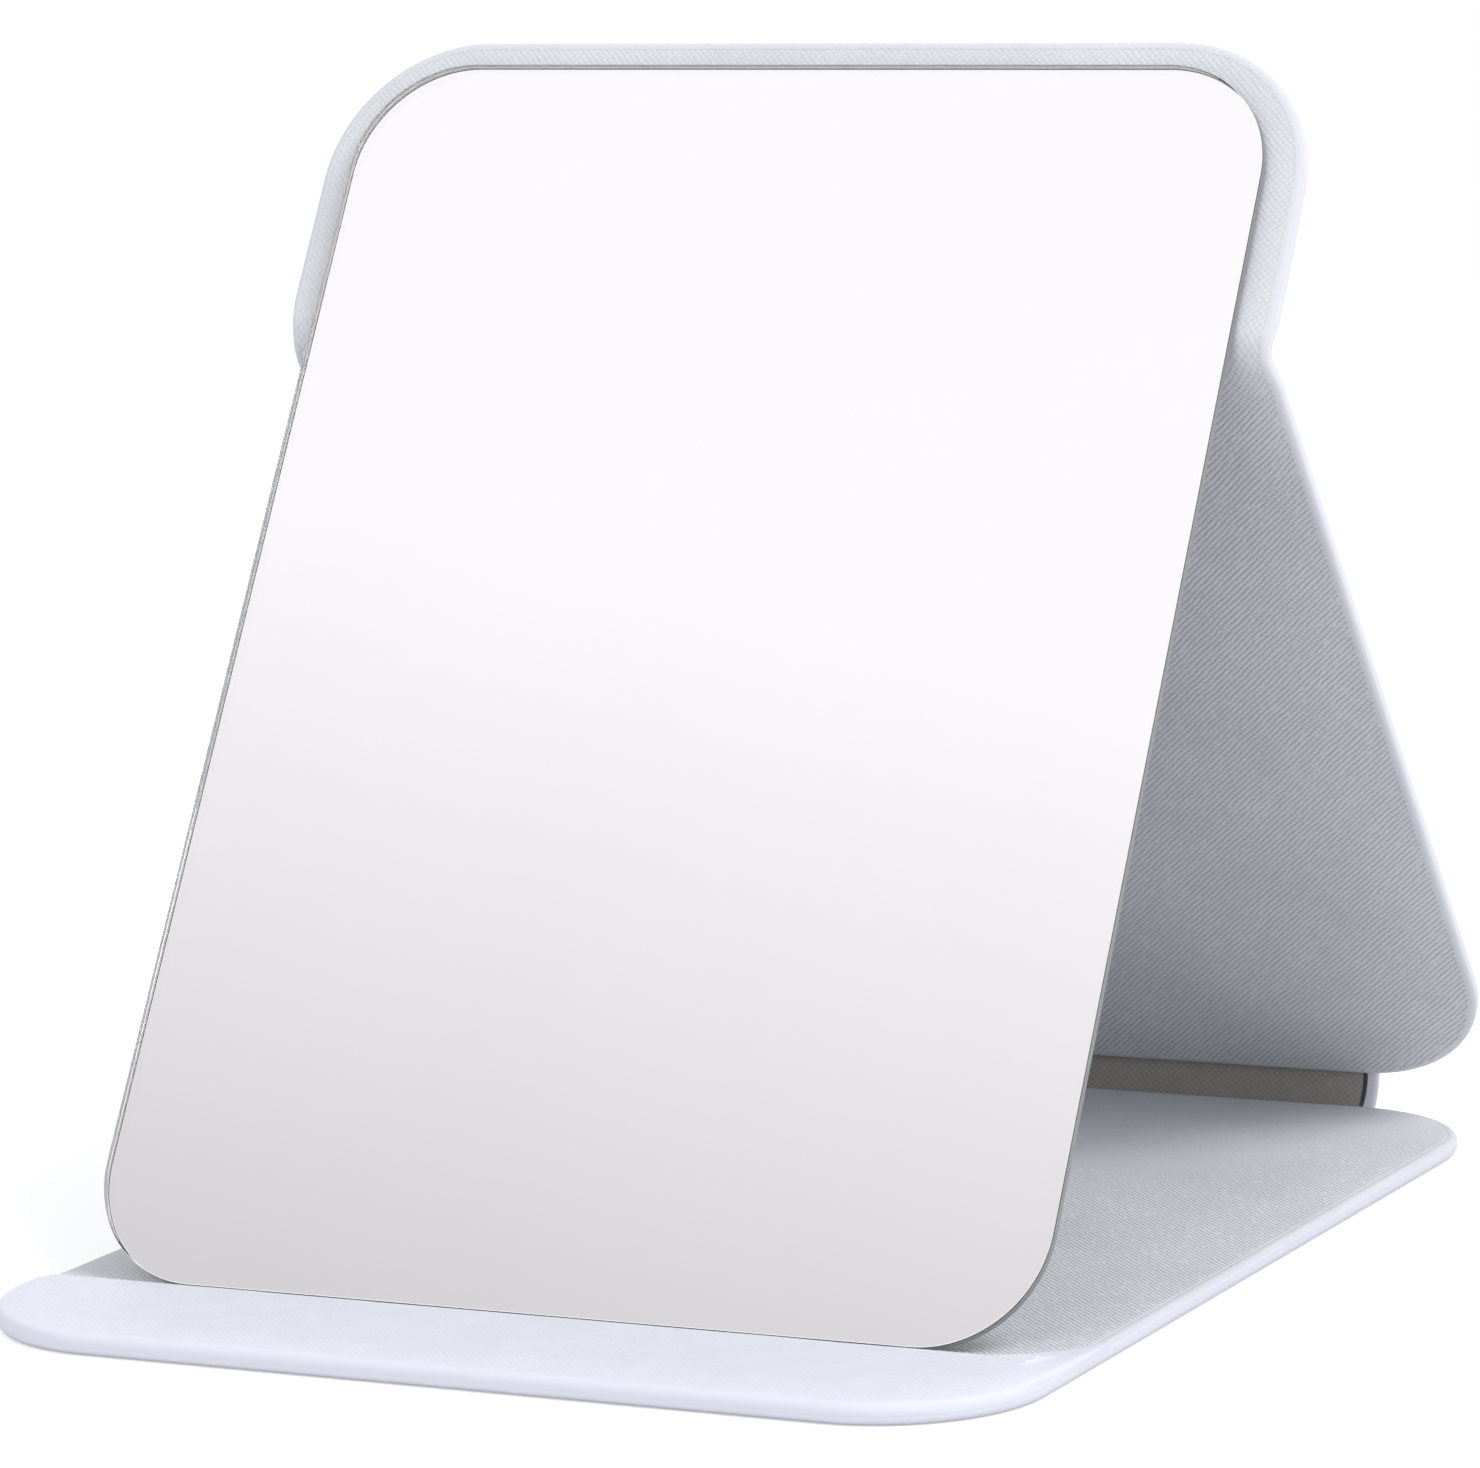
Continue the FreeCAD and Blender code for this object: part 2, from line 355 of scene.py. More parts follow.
class Wiring:
    """A node tree with short ways to add nodes and join them."""

    def __init__(self, tree: bpy.types.NodeTree) -> None:
        """Start on a tree."""
        self.tree = tree

    def feed(self, socket: bpy.types.NodeSocket, value: Input) -> None:
        """Join a socket to another, or set its own value.

        Args:
            socket: Input socket that is fed.
            value: Output socket to join it to, or the value that it takes.
        """
        if isinstance(value, bpy.types.NodeSocket):
            self.tree.links.new(value, socket)
        elif isinstance(value, tuple) and socket.type == "RGBA":
            socket.default_value = (*value, 1.0)
        else:
            socket.default_value = value

    def add(
        self, kind: str, inputs: dict[str | int, Input] | None = None, **settings: object
    ) -> bpy.types.Node:
        """Add a node.

        Args:
            kind: Type of the node.
            inputs: Values or sockets for its inputs, by name or number.
            settings: Its other properties.

        Returns:
            The new node.
        """
        node = self.tree.nodes.new(kind)
        for name, value in settings.items():
            setattr(node, name, value)
        for key, value in (inputs or {}).items():
            self.feed(node.inputs[key], value)
        return node

    def math(self, operation: str, *values: Input, clamp: bool = False) -> bpy.types.NodeSocket:
        """Result of a Math node on some values."""
        node = self.add("ShaderNodeMath", dict(enumerate(values)), operation=operation, use_clamp=clamp)
        return node.outputs[0]

    def vector(self, operation: str, *values: Input) -> bpy.types.NodeSocket:
        """Vector result of a Vector Math node on some values."""
        node = self.add("ShaderNodeVectorMath", dict(enumerate(values)), operation=operation)
        return node.outputs["Vector"]

    def dot(self, first: Input, second: Input) -> bpy.types.NodeSocket:
        """How far one vector reaches along another."""
        node = self.add("ShaderNodeVectorMath", {0: first, 1: second}, operation="DOT_PRODUCT")
        return node.outputs["Value"]

    def ramp(
        self, value: Input, low: float, high: float, first: float = 0.0, last: float = 1.0
    ) -> bpy.types.NodeSocket:
        """A value taken smoothly from one range to another.

        Args:
            value: What is mapped.
            low: Where the ramp starts.
            high: Where it ends.
            first: Result at the start.
            last: Result at the end.

        Returns:
            The socket with the result.
        """
        places = {"Value": value, "From Min": low, "From Max": high, "To Min": first, "To Max": last}
        return self.add("ShaderNodeMapRange", places, interpolation_type="SMOOTHSTEP").outputs["Result"]

    def blend(self, share: Input, first: Input, second: Input) -> bpy.types.NodeSocket:
        """Mix of two colours."""
        mix = self.add("ShaderNodeMix", {0: share, 6: first, 7: second}, data_type="RGBA")
        return mix.outputs[2]

    def noise(self, place: Input, scale: float, detail: float = 2.0) -> bpy.types.Node:
        """Noise texture at a place."""
        return self.add("ShaderNodeTexNoise", {"Vector": place, "Scale": scale, "Detail": detail})


def new_group(
    name: str, inputs: dict[str, tuple[str, object]], outputs: Iterable[str]
) -> tuple[Wiring, bpy.types.Node, bpy.types.Node]:
    """Start a shader node group.

    Args:
        name: Name of the group.
        inputs: Socket type and first value of each input, by name.
        outputs: Names of its value outputs.

    Returns:
        The wiring of the group, its input node and its output node.
    """
    tree = bpy.data.node_groups.new(name, "ShaderNodeTree")
    for label, (kind, value) in inputs.items():
        tree.interface.new_socket(label, in_out="INPUT", socket_type=kind).default_value = value
    for label in outputs:
        tree.interface.new_socket(label, in_out="OUTPUT", socket_type="NodeSocketFloat")
    wiring = Wiring(tree)
    return wiring, wiring.add("NodeGroupInput"), wiring.add("NodeGroupOutput")


@cache
def cross_grain() -> bpy.types.NodeTree:
    """Make the group for cross-hatched leather: two sets of ribs that wander, break and take turns to lead.

    Returns:
        The group, which gives the height of the grain and the depth of its grooves.
    """
    drifts = ((0.15, 1.3), (0.6, 0.45))
    cloud_mean = (0.5, 0.5, 0.5)
    patch_scale, break_scale, noise_range = 0.16, 1.5, (0.3, 0.7)
    thin_rib, rib_gain = 0.1, 0.9
    strand_scale, strand_stretch, strand_range, strand_fill = 0.85, 0.35, (0.5, 0.72), 0.5
    broken_height = 0.45
    wiring, given, result = new_group(
        "Cross grain",
        {
            "Sheet": ("NodeSocketVector", (0.0, 0.0, 0.0)),
            "Pitch": ("NodeSocketFloat", 0.8),
            "Wander": ("NodeSocketFloat", 0.5),
            "Lead": ("NodeSocketFloat", 0.5),
            "Patches": ("NodeSocketFloat", 0.2),
        },
        ("Height", "Groove"),
    )
    sheet = given.outputs["Sheet"]
    moved = sheet
    for scale, share in drifts:
        cloud = wiring.noise(sheet, scale).outputs["Color"]
        drift = wiring.vector("SUBTRACT", cloud, cloud_mean)
        reach = wiring.math("MULTIPLY", given.outputs["Wander"], share)
        shift = wiring.add("ShaderNodeVectorMath", {0: drift, "Scale": reach}, operation="SCALE")
        moved = wiring.vector("ADD", moved, shift.outputs["Vector"])
    split = wiring.add("ShaderNodeSeparateXYZ", {0: moved})
    turns = wiring.math("DIVIDE", math.pi * math.sqrt(0.5), given.outputs["Pitch"])
    patches = wiring.ramp(wiring.noise(sheet, patch_scale).outputs["Fac"], *noise_range, -1.0, 1.0)
    lead = wiring.math(
        "MULTIPLY_ADD", patches, given.outputs["Patches"], given.outputs["Lead"], clamp=True
    )
    falling = wiring.math("ADD", split.outputs["X"], split.outputs["Y"])
    rising = wiring.math("SUBTRACT", split.outputs["X"], split.outputs["Y"])
    ribs = []
    for own, other, share in (
        (falling, rising, lead), (rising, falling, wiring.math("SUBTRACT", 1.0, lead))
    ):
        wave = wiring.math("ABSOLUTE", wiring.math("SINE", wiring.math("MULTIPLY", own, turns)))
        rib = wiring.math("POWER", wave, wiring.math("MULTIPLY_ADD", share, rib_gain, thin_rib))
        strand = wiring.add(
            "ShaderNodeCombineXYZ", {"X": own, "Y": wiring.math("MULTIPLY", other, strand_stretch)}
        ).outputs["Vector"]
        spread = wiring.noise(strand, strand_scale, detail=1.0).outputs["Fac"]
        filled = wiring.ramp(spread, *strand_range, 0.0, strand_fill)
        ribs.append(wiring.math("MULTIPLY_ADD", filled, wiring.math("SUBTRACT", 1.0, rib), rib))
    diamonds = wiring.math("MULTIPLY", *ribs)
    breaks = wiring.ramp(
        wiring.noise(sheet, break_scale).outputs["Fac"], *noise_range, broken_height, 1.0
    )
    wiring.feed(result.inputs["Height"], wiring.math("MULTIPLY", diamonds, breaks))
    wiring.feed(result.inputs["Groove"], wiring.math("SUBTRACT", 1.0, diamonds, clamp=True))
    return wiring.tree


@cache
def turned_edge() -> bpy.types.NodeTree:
    """Make the group for the band along a sheet's rounded outline, where the leather turns over its edge.

    Returns:
        The group, which gives 1 in the band and 0 inside it.
    """
    fade_start, fade_end = 0.6, 1.15
    wiring, given, result = new_group(
        "Turned edge",
        {
            "Sheet": ("NodeSocketVector", (0.0, 0.0, 0.0)),
            "Middle": ("NodeSocketVector", (0.0, 0.0, 0.0)),
            "Core": ("NodeSocketVector", (1.0, 1.0, 0.0)),
            "Radius": ("NodeSocketFloat", 1.0),
            "Band": ("NodeSocketFloat", 2.0),
        },
        ("Edge",),
    )
    offset = wiring.vector("SUBTRACT", given.outputs["Sheet"], given.outputs["Middle"])
    flat = wiring.vector("MULTIPLY", wiring.vector("ABSOLUTE", offset), (1.0, 1.0, 0.0))
    past = wiring.vector("SUBTRACT", flat, given.outputs["Core"])
    beyond = wiring.vector("MAXIMUM", past, (0.0, 0.0, 0.0))
    reach = wiring.add("ShaderNodeVectorMath", {0: beyond}, operation="LENGTH").outputs["Value"]
    inside = wiring.math("SUBTRACT", given.outputs["Radius"], reach)
    share = wiring.math("DIVIDE", inside, given.outputs["Band"])
    wiring.feed(result.inputs["Edge"], wiring.ramp(share, fade_start, fade_end, 1.0, 0.0))
    return wiring.tree


@cache
def mottling() -> bpy.types.NodeTree:
    """Make the group for soft uneven tone: broad clouds with a finer speckle over them.

    Returns:
        The group, which gives a tone from 0 to 1.
    """
    cloud_share, speckle_share = 0.65, 0.35
    darkest, lightest = 0.35, 0.65
    wiring, given, result = new_group(
        "Mottling",
        {
            "Place": ("NodeSocketVector", (0.0, 0.0, 0.0)),
            "Clouds": ("NodeSocketFloat", 0.03),
            "Speckle": ("NodeSocketFloat", 2.0),
        },
        ("Tone",),
    )
    layers = []
    for label, detail in (("Clouds", 2.0), ("Speckle", 3.0)):
        layer = wiring.noise(given.outputs["Place"], 1.0, detail)
        wiring.feed(layer.inputs["Scale"], given.outputs[label])
        layers.append(layer.outputs["Fac"])
    speckle = wiring.math("MULTIPLY", layers[1], speckle_share)
    tone = wiring.math("MULTIPLY_ADD", layers[0], cloud_share, speckle)
    wiring.feed(result.inputs["Tone"], wiring.ramp(tone, darkest, lightest))
    return wiring.tree


class Finish:
    """A procedural material under work, with its shader and the place that its patterns follow."""

    def __init__(self, name: str, place: str | None = None) -> None:
        """Start a material.

        Args:
            name: Name of the material.
            place: Attribute that the patterns follow, in place of the object's coordinates in mm.
        """
        self.material = bpy.data.materials.new(name)
        self.material.use_nodes = True
        self.wiring = Wiring(self.material.node_tree)
        self.shader = self.material.node_tree.nodes["Principled BSDF"]
        if place:
            self.place = self.wiring.add("ShaderNodeAttribute", attribute_name=place).outputs["Vector"]
        else:
            coords = self.wiring.add("ShaderNodeTexCoord").outputs["Object"]
            places = {"Vector": coords, "Scale": (1 / MM, 1 / MM, 1 / MM)}
            self.place = self.wiring.add("ShaderNodeMapping", places).outputs["Vector"]

    def group(self, tree: bpy.types.NodeTree, inputs: dict[str | int, Input]) -> bpy.types.Node:
        """Place a shared node group with this material's values.

        Args:
            tree: The shared group.
            inputs: Values or sockets for its inputs, by name or number.

        Returns:
            The node that holds it.
        """
        node = self.wiring.add("ShaderNodeGroup", node_tree=tree)
        for key, value in inputs.items():
            self.wiring.feed(node.inputs[key], value)
        return node

    def tone(self, clouds: float, speckle: float) -> bpy.types.NodeSocket:
        """Soft uneven tone from 0 to 1 at this material's scales, in waves to the millimetre."""
        given = {"Place": self.place, "Clouds": clouds, "Speckle": speckle}
        return self.group(mottling(), given).outputs["Tone"]

    def set(self, **sockets: Input) -> None:
        """Feed the shader's sockets, named with underscores for spaces."""
        for name, value in sockets.items():
            self.wiring.feed(self.shader.inputs[name.replace("_", " ")], value)

    def bump(self, height: Input, depth: float) -> None:
        """Give the surface a relief.

        Args:
            height: Height of the surface, from 0 to 1.
            depth: Millimetres that a height of 1 stands for.
        """
        relief = {"Height": height, "Distance": depth * MM, "Strength": 1.0}
        node = self.wiring.add("ShaderNodeBump", relief)
        self.wiring.feed(self.shader.inputs["Normal"], node.outputs["Normal"])


@dataclass(frozen=True)
class Calm:
    """Stretch of a sheet past a line along some direction, where the grain is fainter and more even."""

    start: float
    way: tuple[float, float, float] = (0.0, 1.0, 0.0)
    reach: float = 8.0
    share: float = 0.2
    relief: float = 0.5
    tone: float = 0.0


@dataclass(frozen=True)
class Leather:
    """Coated leather with a cross-hatched grain that flattens where it turns over an edge."""

    name: str
    colour: Colour
    groove: Colour
    edge: Colour
    contrast: float
    depth: float
    roughness: float = 0.5
    pitch: float = 0.78
    wander: float = 0.45
    patches: float = 0.2
    band: float = 1.4
    clouds: float = 0.035
    cloud_share: float = 0.15
    speckle: float = 1.6
    dip_range: tuple[float, float] = (0.15, 0.85)
    dip_roughness: float = 0.2
    least_wear: float = 0.75
    gloss: float = 0.35
    crease_scale: float = 0.7
    crease_detail: float = 4.0
    crease_share: float = 0.35
    edge_relief: float = 0.12

    @cache
    def material(
        self, label: str, outline: Outline, lead: float = 0.5, calm: Calm | None = None
    ) -> bpy.types.Material:
        """Make the leather of one sheet, once for each sheet.

        Args:
            label: Name of the sheet.
            outline: Plan of the whole sheet, whose rim is smoother and paler.
            lead: Share of the ribs that run down to the right, against those that run up to the right.
            calm: Stretch of the sheet where the grain is fainter and more even.

        Returns:
            The new material.
        """
        finish = Finish(f"{self.name} {label}", SHEET)
        wiring = finish.wiring
        strength: Input = self.contrast
        leading: Input = lead
        relief: Input = 1.0
        even_shade: Input = 0.0
        if calm:
            ahead = wiring.dot(finish.place, calm.way)
            past = wiring.ramp(ahead, calm.start - calm.reach, calm.start + calm.reach)
            fading = self.contrast * (calm.share - 1.0)
            strength = wiring.math("MULTIPLY_ADD", past, fading, self.contrast)
            leading = wiring.math("MULTIPLY_ADD", past, 0.5 - lead, lead)
            relief = wiring.math("MULTIPLY_ADD", past, calm.relief - 1.0, 1.0)
            even_shade = wiring.math("MULTIPLY", past, calm.tone)
        grain = finish.group(cross_grain(), {
            "Sheet": finish.place, "Pitch": self.pitch, "Wander": self.wander, "Lead": leading,
            "Patches": self.patches,
        })
        radius = max(outline.low_radius, outline.high_radius)
        edge = finish.group(turned_edge(), {
            "Sheet": finish.place, "Radius": radius, "Band": self.band,
            "Middle": (0.0, (outline.low + outline.high) / 2, 0.0),
            "Core": (outline.half_width - radius, (outline.high - outline.low) / 2 - radius, 0.0),
        }).outputs["Edge"]
        tone = finish.tone(self.clouds, self.speckle)
        plain = wiring.math("SUBTRACT", 1.0, edge)
        dips = wiring.math("MULTIPLY", grain.outputs["Groove"], plain)
        cloud = wiring.math("MULTIPLY", tone, self.cloud_share)
        clouded = wiring.blend(cloud, self.colour, self.groove)
        shade = wiring.math("MULTIPLY_ADD", wiring.ramp(dips, *self.dip_range), strength, even_shade)
        grooved = wiring.blend(shade, clouded, self.groove)
        wear = wiring.math("MULTIPLY", edge, wiring.ramp(tone, 0.0, 1.0, self.least_wear, 1.0))
        finish.set(
            Base_Color=wiring.blend(wear, grooved, self.edge),
            Roughness=wiring.math("MULTIPLY_ADD", dips, self.dip_roughness, self.roughness),
            Specular_IOR_Level=self.gloss,
        )
        wrinkles = wiring.noise(finish.place, self.crease_scale, self.crease_detail).outputs["Fac"]
        creases = wiring.math("MULTIPLY", wrinkles, self.crease_share)
        pressing = wiring.ramp(edge, 0.0, 1.0, 1.0, self.edge_relief)
        flattened = wiring.math("MULTIPLY", grain.outputs["Height"], pressing)
        height = wiring.math("MULTIPLY", wiring.math("ADD", flattened, creases), relief)
        finish.bump(height, self.depth)
        return finish.material


@dataclass(frozen=True)
class Mottled:
    """Plain matt material with clouds, a speckle and a fine tooth, such as board, foam or paint."""

    name: str
    low: Colour
    high: Colour
    clouds: float
    speckle: float
    roughness: float
    tooth: float
    polish: float = 0.08

    def material(self) -> bpy.types.Material:
        """Make the material on the object's own coordinates.

        Returns:
            The new material.
        """
        finish = Finish(self.name)
        tone = finish.tone(self.clouds, self.speckle)
        finish.set(
            Base_Color=finish.wiring.blend(tone, self.low, self.high),
            Roughness=finish.wiring.ramp(tone, 0.0, 1.0, self.roughness, self.roughness - self.polish),
        )
        finish.bump(tone, self.tooth)
        return finish.material


@dataclass(frozen=True)
class Silver:
    """Silver coat that makes the glass a mirror."""

    name: str = "silvering"
    low: Colour = (0.985, 0.96, 0.983)
    high: Colour = (0.995, 0.97, 0.993)
    clouds: float = 0.02
    speckle: float = 0.2
    haze: float = 0.01

    def material(self) -> bpy.types.Material:
        """Make the bright metal, with a trace of unevenness.

        Returns:
            The new material.
        """
        finish = Finish(self.name)
        tone = finish.tone(self.clouds, self.speckle)
        finish.set(
            Base_Color=finish.wiring.blend(tone, self.low, self.high),
            Metallic=1.0,
            Roughness=finish.wiring.ramp(tone, 0.0, 1.0, 0.0, self.haze),
        )
        return finish.material


@dataclass(frozen=True)
class FloatGlass:
    """Float glass, faintly green: clear where it is polished and frosted where it is ground."""

    name: str
    colour: Colour
    smooth: float
    rough: float
    clouds: float
    speckle: float
    clearness: float = 1.0
    index: float = 1.52
    # Colour of a face seen from inside the plate: painted light, lighter than the outside.
    inside: Colour | None = None

    def material(self) -> bpy.types.Material:
        """Make the glass, with its polish or grinding marks in the roughness and painted light on the
        inside of a ground face.

        Returns:
            The new material.
        """
        finish = Finish(self.name)
        tone = finish.tone(self.clouds, self.speckle)
        colour: Input = self.colour
        # From inside the plate the ground face takes the lighter colour, which is painted light; from
        # outside it keeps its own grey.
        if self.inside:
            behind = finish.wiring.add("ShaderNodeNewGeometry").outputs["Backfacing"]
            colour = finish.wiring.blend(behind, self.colour, self.inside)
        finish.set(
            Base_Color=colour,
            Roughness=finish.wiring.ramp(tone, 0.0, 1.0, self.smooth, self.rough),
            IOR=self.index,
            Transmission_Weight=self.clearness,
        )
        return finish.material


# Sub-assemblies


@dataclass(frozen=True)
class Folds:
    """Fold axes of the standing mirror in side view, in millimetres, and the headings of its panels."""

    base_axis: tuple[float, float]
    back_axis: tuple[float, float]
    crease_axis: tuple[float, float]
    spine_rise: float
    back_angle: float
    top_angle: float

    @classmethod
    def from_frame(cls, record: dict) -> "Folds":
        """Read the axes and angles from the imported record.

        Args:
            record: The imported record.

        Returns:
            The folds at rest.
        """
        behaviour = record["behaviour"]
        joints = {joint["name"]: joint for joint in behaviour["joints"]}
        axes = [
            (joints[name]["pos_m"][1] / MM, joints[name]["pos_m"][2] / MM)
            for name in ("base_hinge", "back_hinge", "mirror_crease")
        ]
        rise = math.radians(joints["base_hinge"]["range_deg"][1])
        turn = math.radians(joints["back_hinge"]["range_deg"][1])
        ratio = behaviour["couplings"][0]["ratio"]
        return cls(*axes, rise, rise + turn, rise + turn * (1 - ratio))


@dataclass(frozen=True)
class Layers:
    """Layers of a cover from the outside in, and its turned edge."""

    outer: float = 0.7
    board: float = 1.5
    lining: float = 0.6
    edge_radius: float = 1.1
    edge_turn: float = 1.5
    corner_radius: float = 24.0
    rim_steps: int = 8
    seam_width: float = 0.12
    seam_depth: float = 0.04
    seam_steps: int = 4
    wall_lean: float = 0.01
    lined_from: float = 0.45

    @property
    def half(self) -> float:
        """Half the thickness of a cover."""
        return (self.outer + self.board + self.lining) / 2

    @property
    def board_low(self) -> float:
        """Height of the board's outer face above the middle of the cover."""
        return self.outer - self.half

    @property
    def board_high(self) -> float:
        """Height of the board's inner face above the middle of the cover."""
        return self.board_low + self.board

    def skin(self, outline: Outline) -> SheetMesh:
        """Shape the outer leather of a cover: a shallow tray with a rounded edge.

        Args:
            outline: Plan of the cover.

        Returns:
            The flat tray, with the second finish, the lining's, on the faces that look in.
        """
        sheet = SheetMesh(outline, -self.half, self.half)
        for side in Side:
            sheet.round_rim(side, self.edge_radius, self.rim_steps)
        sheet.sink(Side.INNER, self.edge_turn - self.edge_radius - self.seam_width, 0.0)
        sheet.sink(Side.INNER, self.seam_width, self.seam_depth)
        sheet.sink(Side.INNER, self.wall_lean, self.half - self.board_low - self.seam_depth)
        for face in sheet.mesh.faces:
            face.material_index = int(face.normal.z > self.lined_from)
        return sheet

    def lining_sheet(self, outline: Outline, square_end: float | None = None) -> SheetMesh:
        """Shape the lining of a cover, with its rim pressed down into the seam.

        Args:
            outline: Plan of the lining.
            square_end: Place along the sheet of an end that stays sharp.

        Returns:
            The flat lining.
        """
        sheet = SheetMesh(outline, self.board_high, self.half)
        sheet.round_rim(Side.INNER, self.seam_width, self.seam_steps, square_end)
        return sheet


LAYERS = Layers()
OUTER_LEATHER = Leather(
    "white cross-grain", colour=(0.765, 0.79, 0.88), groove=(0.66, 0.685, 0.78),
    edge=(0.745, 0.765, 0.86), contrast=0.4, depth=0.04, patches=1.2, clouds=0.2, cloud_share=0.3,
)
LINING_LEATHER = Leather(
    "pale grey cross-grain", colour=(0.87, 0.895, 0.945), groove=(0.345, 0.355, 0.38),
    edge=(0.67, 0.685, 0.74), contrast=0.65, depth=0.13, band=2.0,
)
BACK_LINING = replace(
    LINING_LEATHER, name="soft grey cross-grain", colour=(0.78, 0.805, 0.85),
    groove=(0.33, 0.34, 0.365), contrast=0.52, band=1.3,
)
# The same pale lining made darker for the spine: painted shade for the deep fold between the covers.
SPINE_LINING_PAINTED_SHADE = replace(
    LINING_LEATHER, name="painted-shade cross-grain", colour=(0.43, 0.405, 0.385),
    groove=(0.25, 0.235, 0.225), edge=(0.43, 0.41, 0.395), contrast=0.6, depth=0.08,
)
CLEAR_GLASS = FloatGlass(
    "clear glass", (0.996, 0.998, 0.997), smooth=0.0, rough=0.004, clouds=0.03, speckle=0.6
)
# The ground edge is grey outside; its near-white inside colour is painted light.
GROUND_GLASS = FloatGlass(
    "ground glass edge", (0.27, 0.282, 0.292), smooth=0.3, rough=0.45, clouds=0.2, speckle=4.0,
    clearness=0.1, inside=(0.95, 0.97, 0.97),
)
GREY_BOARD = Mottled(
    "grey board", low=(0.40, 0.385, 0.35), high=(0.56, 0.54, 0.50),
    clouds=0.15, speckle=3.0, roughness=0.9, tooth=0.06,
)
FOAM_TAPE = Mottled(
    "foam tape", low=(0.74, 0.74, 0.72), high=(0.86, 0.86, 0.84),
    clouds=0.3, speckle=5.0, roughness=0.85, tooth=0.05,
)
# Dark painted shade for the narrow gap between the spine's lining and its turned ends.
SPINE_GAP_SHADE = Mottled(
    "painted gap shade", low=(0.11, 0.118, 0.145), high=(0.15, 0.16, 0.19),
    clouds=0.3, speckle=3.0, roughness=0.7, tooth=0.03,
)
MIRROR_PAINT = Mottled(
    "mirror back paint", low=(0.30, 0.31, 0.32), high=(0.37, 0.38, 0.39),
    clouds=0.05, speckle=2.5, roughness=0.6, tooth=0.02,
)


def dress(piece: bpy.types.Object, slot: Slot, *nodes: str) -> None:
    """Hide the frame nodes that the piece stands for, and report it with them.

    Args:
        piece: The finished piece, already on its body.
        slot: The record's slot for its finish; not used.
        nodes: Frame nodes that it stands for.
    """
    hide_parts(*nodes)
    log.info("%s: %d faces, stands for %s", piece.name, len(piece.data.polygons), ", ".join(nodes))


@dataclass
class FrontCover:
    """Cover that lies on the table as the base, lined behind its lip."""

    layers: Layers = LAYERS
    half_width: float = 82.5
    half_length: float = 105.0
    lip_width: float = 30.5
    foot_place: float = -72.7
    foot_reach: float = 2.4
    foot_half: float = 68.0
    foot_fade: float = 6.0
    foot_dent: float = 0.15
    foot_step: float = 0.4
    foot_fade_step: float = 1.5
    lead: float = 0.9
    calm: Calm = Calm(0.0, way=(-0.7, 0.7, 0.0), reach=16.0, share=0.25, relief=0.6, tone=0.19)

    @property
    def path(self) -> SheetPath:
        """Level line through the middle of the cover, counted from the middle of the base."""
        return SheetPath((0.0, self.layers.half), 0.0, (Leg(self.half_length),))

    @property
    def outline(self) -> Outline:
        """Plan of the cover."""
        radius = self.layers.corner_radius
        return Outline(self.half_width, -self.half_length, self.half_length, radius, radius)

    @property
    def lip_rear(self) -> float:
        """Place of the lip's rear edge."""
        return self.lip_width - self.half_length

    def build(self) -> None:
        """Make the outer leather and the lining."""
        self.build_skin()
        self.build_lining()

    def finish(self, leather: Leather) -> bpy.types.Material:
        """Finish of the flat cover in one of its leathers, its grain fainter behind and on the left."""
        return leather.material("base", self.outline, self.lead, self.calm)

    def build_skin(self) -> None:
        """Outer leather with its turned edge."""
        sheet = self.layers.skin(self.outline)
        sheet.stamp()
        sheet.bend(self.path)
        leathers = [self.finish(leather) for leather in (OUTER_LEATHER, LINING_LEATHER)]
        piece = sheet.to_piece("base_outer_leather", leathers)
        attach(piece, Body.BASE.value)
        dress(piece, Slot.OUTER, "base_outer_cover")

    def build_lining(self) -> None:
        """Lining from the lip to the rear edge, with a shallow dent where the glass stands."""
        inner = replace(self.outline.shrunk(self.layers.edge_turn), low=self.lip_rear, low_radius=0.0)
        sheet = self.layers.lining_sheet(inner, self.lip_rear)
        sheet.cut(ALONG, spaced(self.lip_rear, self.foot_place + self.foot_reach, self.foot_step)[1:])
        fading = spaced(self.foot_half - self.foot_fade, self.foot_half, self.foot_fade_step)
        for hand in Hand:
            sheet.cut(ACROSS, [hand.value * place for place in fading])
        sheet.stamp()
        sheet.move(self.dent)
        sheet.bend(self.path)
        piece = sheet.to_piece("base_lining_leather", [self.finish(LINING_LEATHER)])
        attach(piece, Body.BASE.value)
        dress(piece, Slot.LINING, "base_lining")

    def dent(self, flat: Vector) -> Vector:
        """Press the lining down a little under the foot of the glass.

        Args:
            flat: A point of the flat lining.

        Returns:
            The pressed point.
        """
        if flat.z < self.layers.half - SAME:
            return flat.copy()
        along = ease(1.0 - abs(flat.y - self.foot_place) / self.foot_reach)
        across = ease((self.foot_half - abs(flat.x)) / self.foot_fade)
        return Vector((flat.x, flat.y, flat.z - self.foot_dent * along * across))


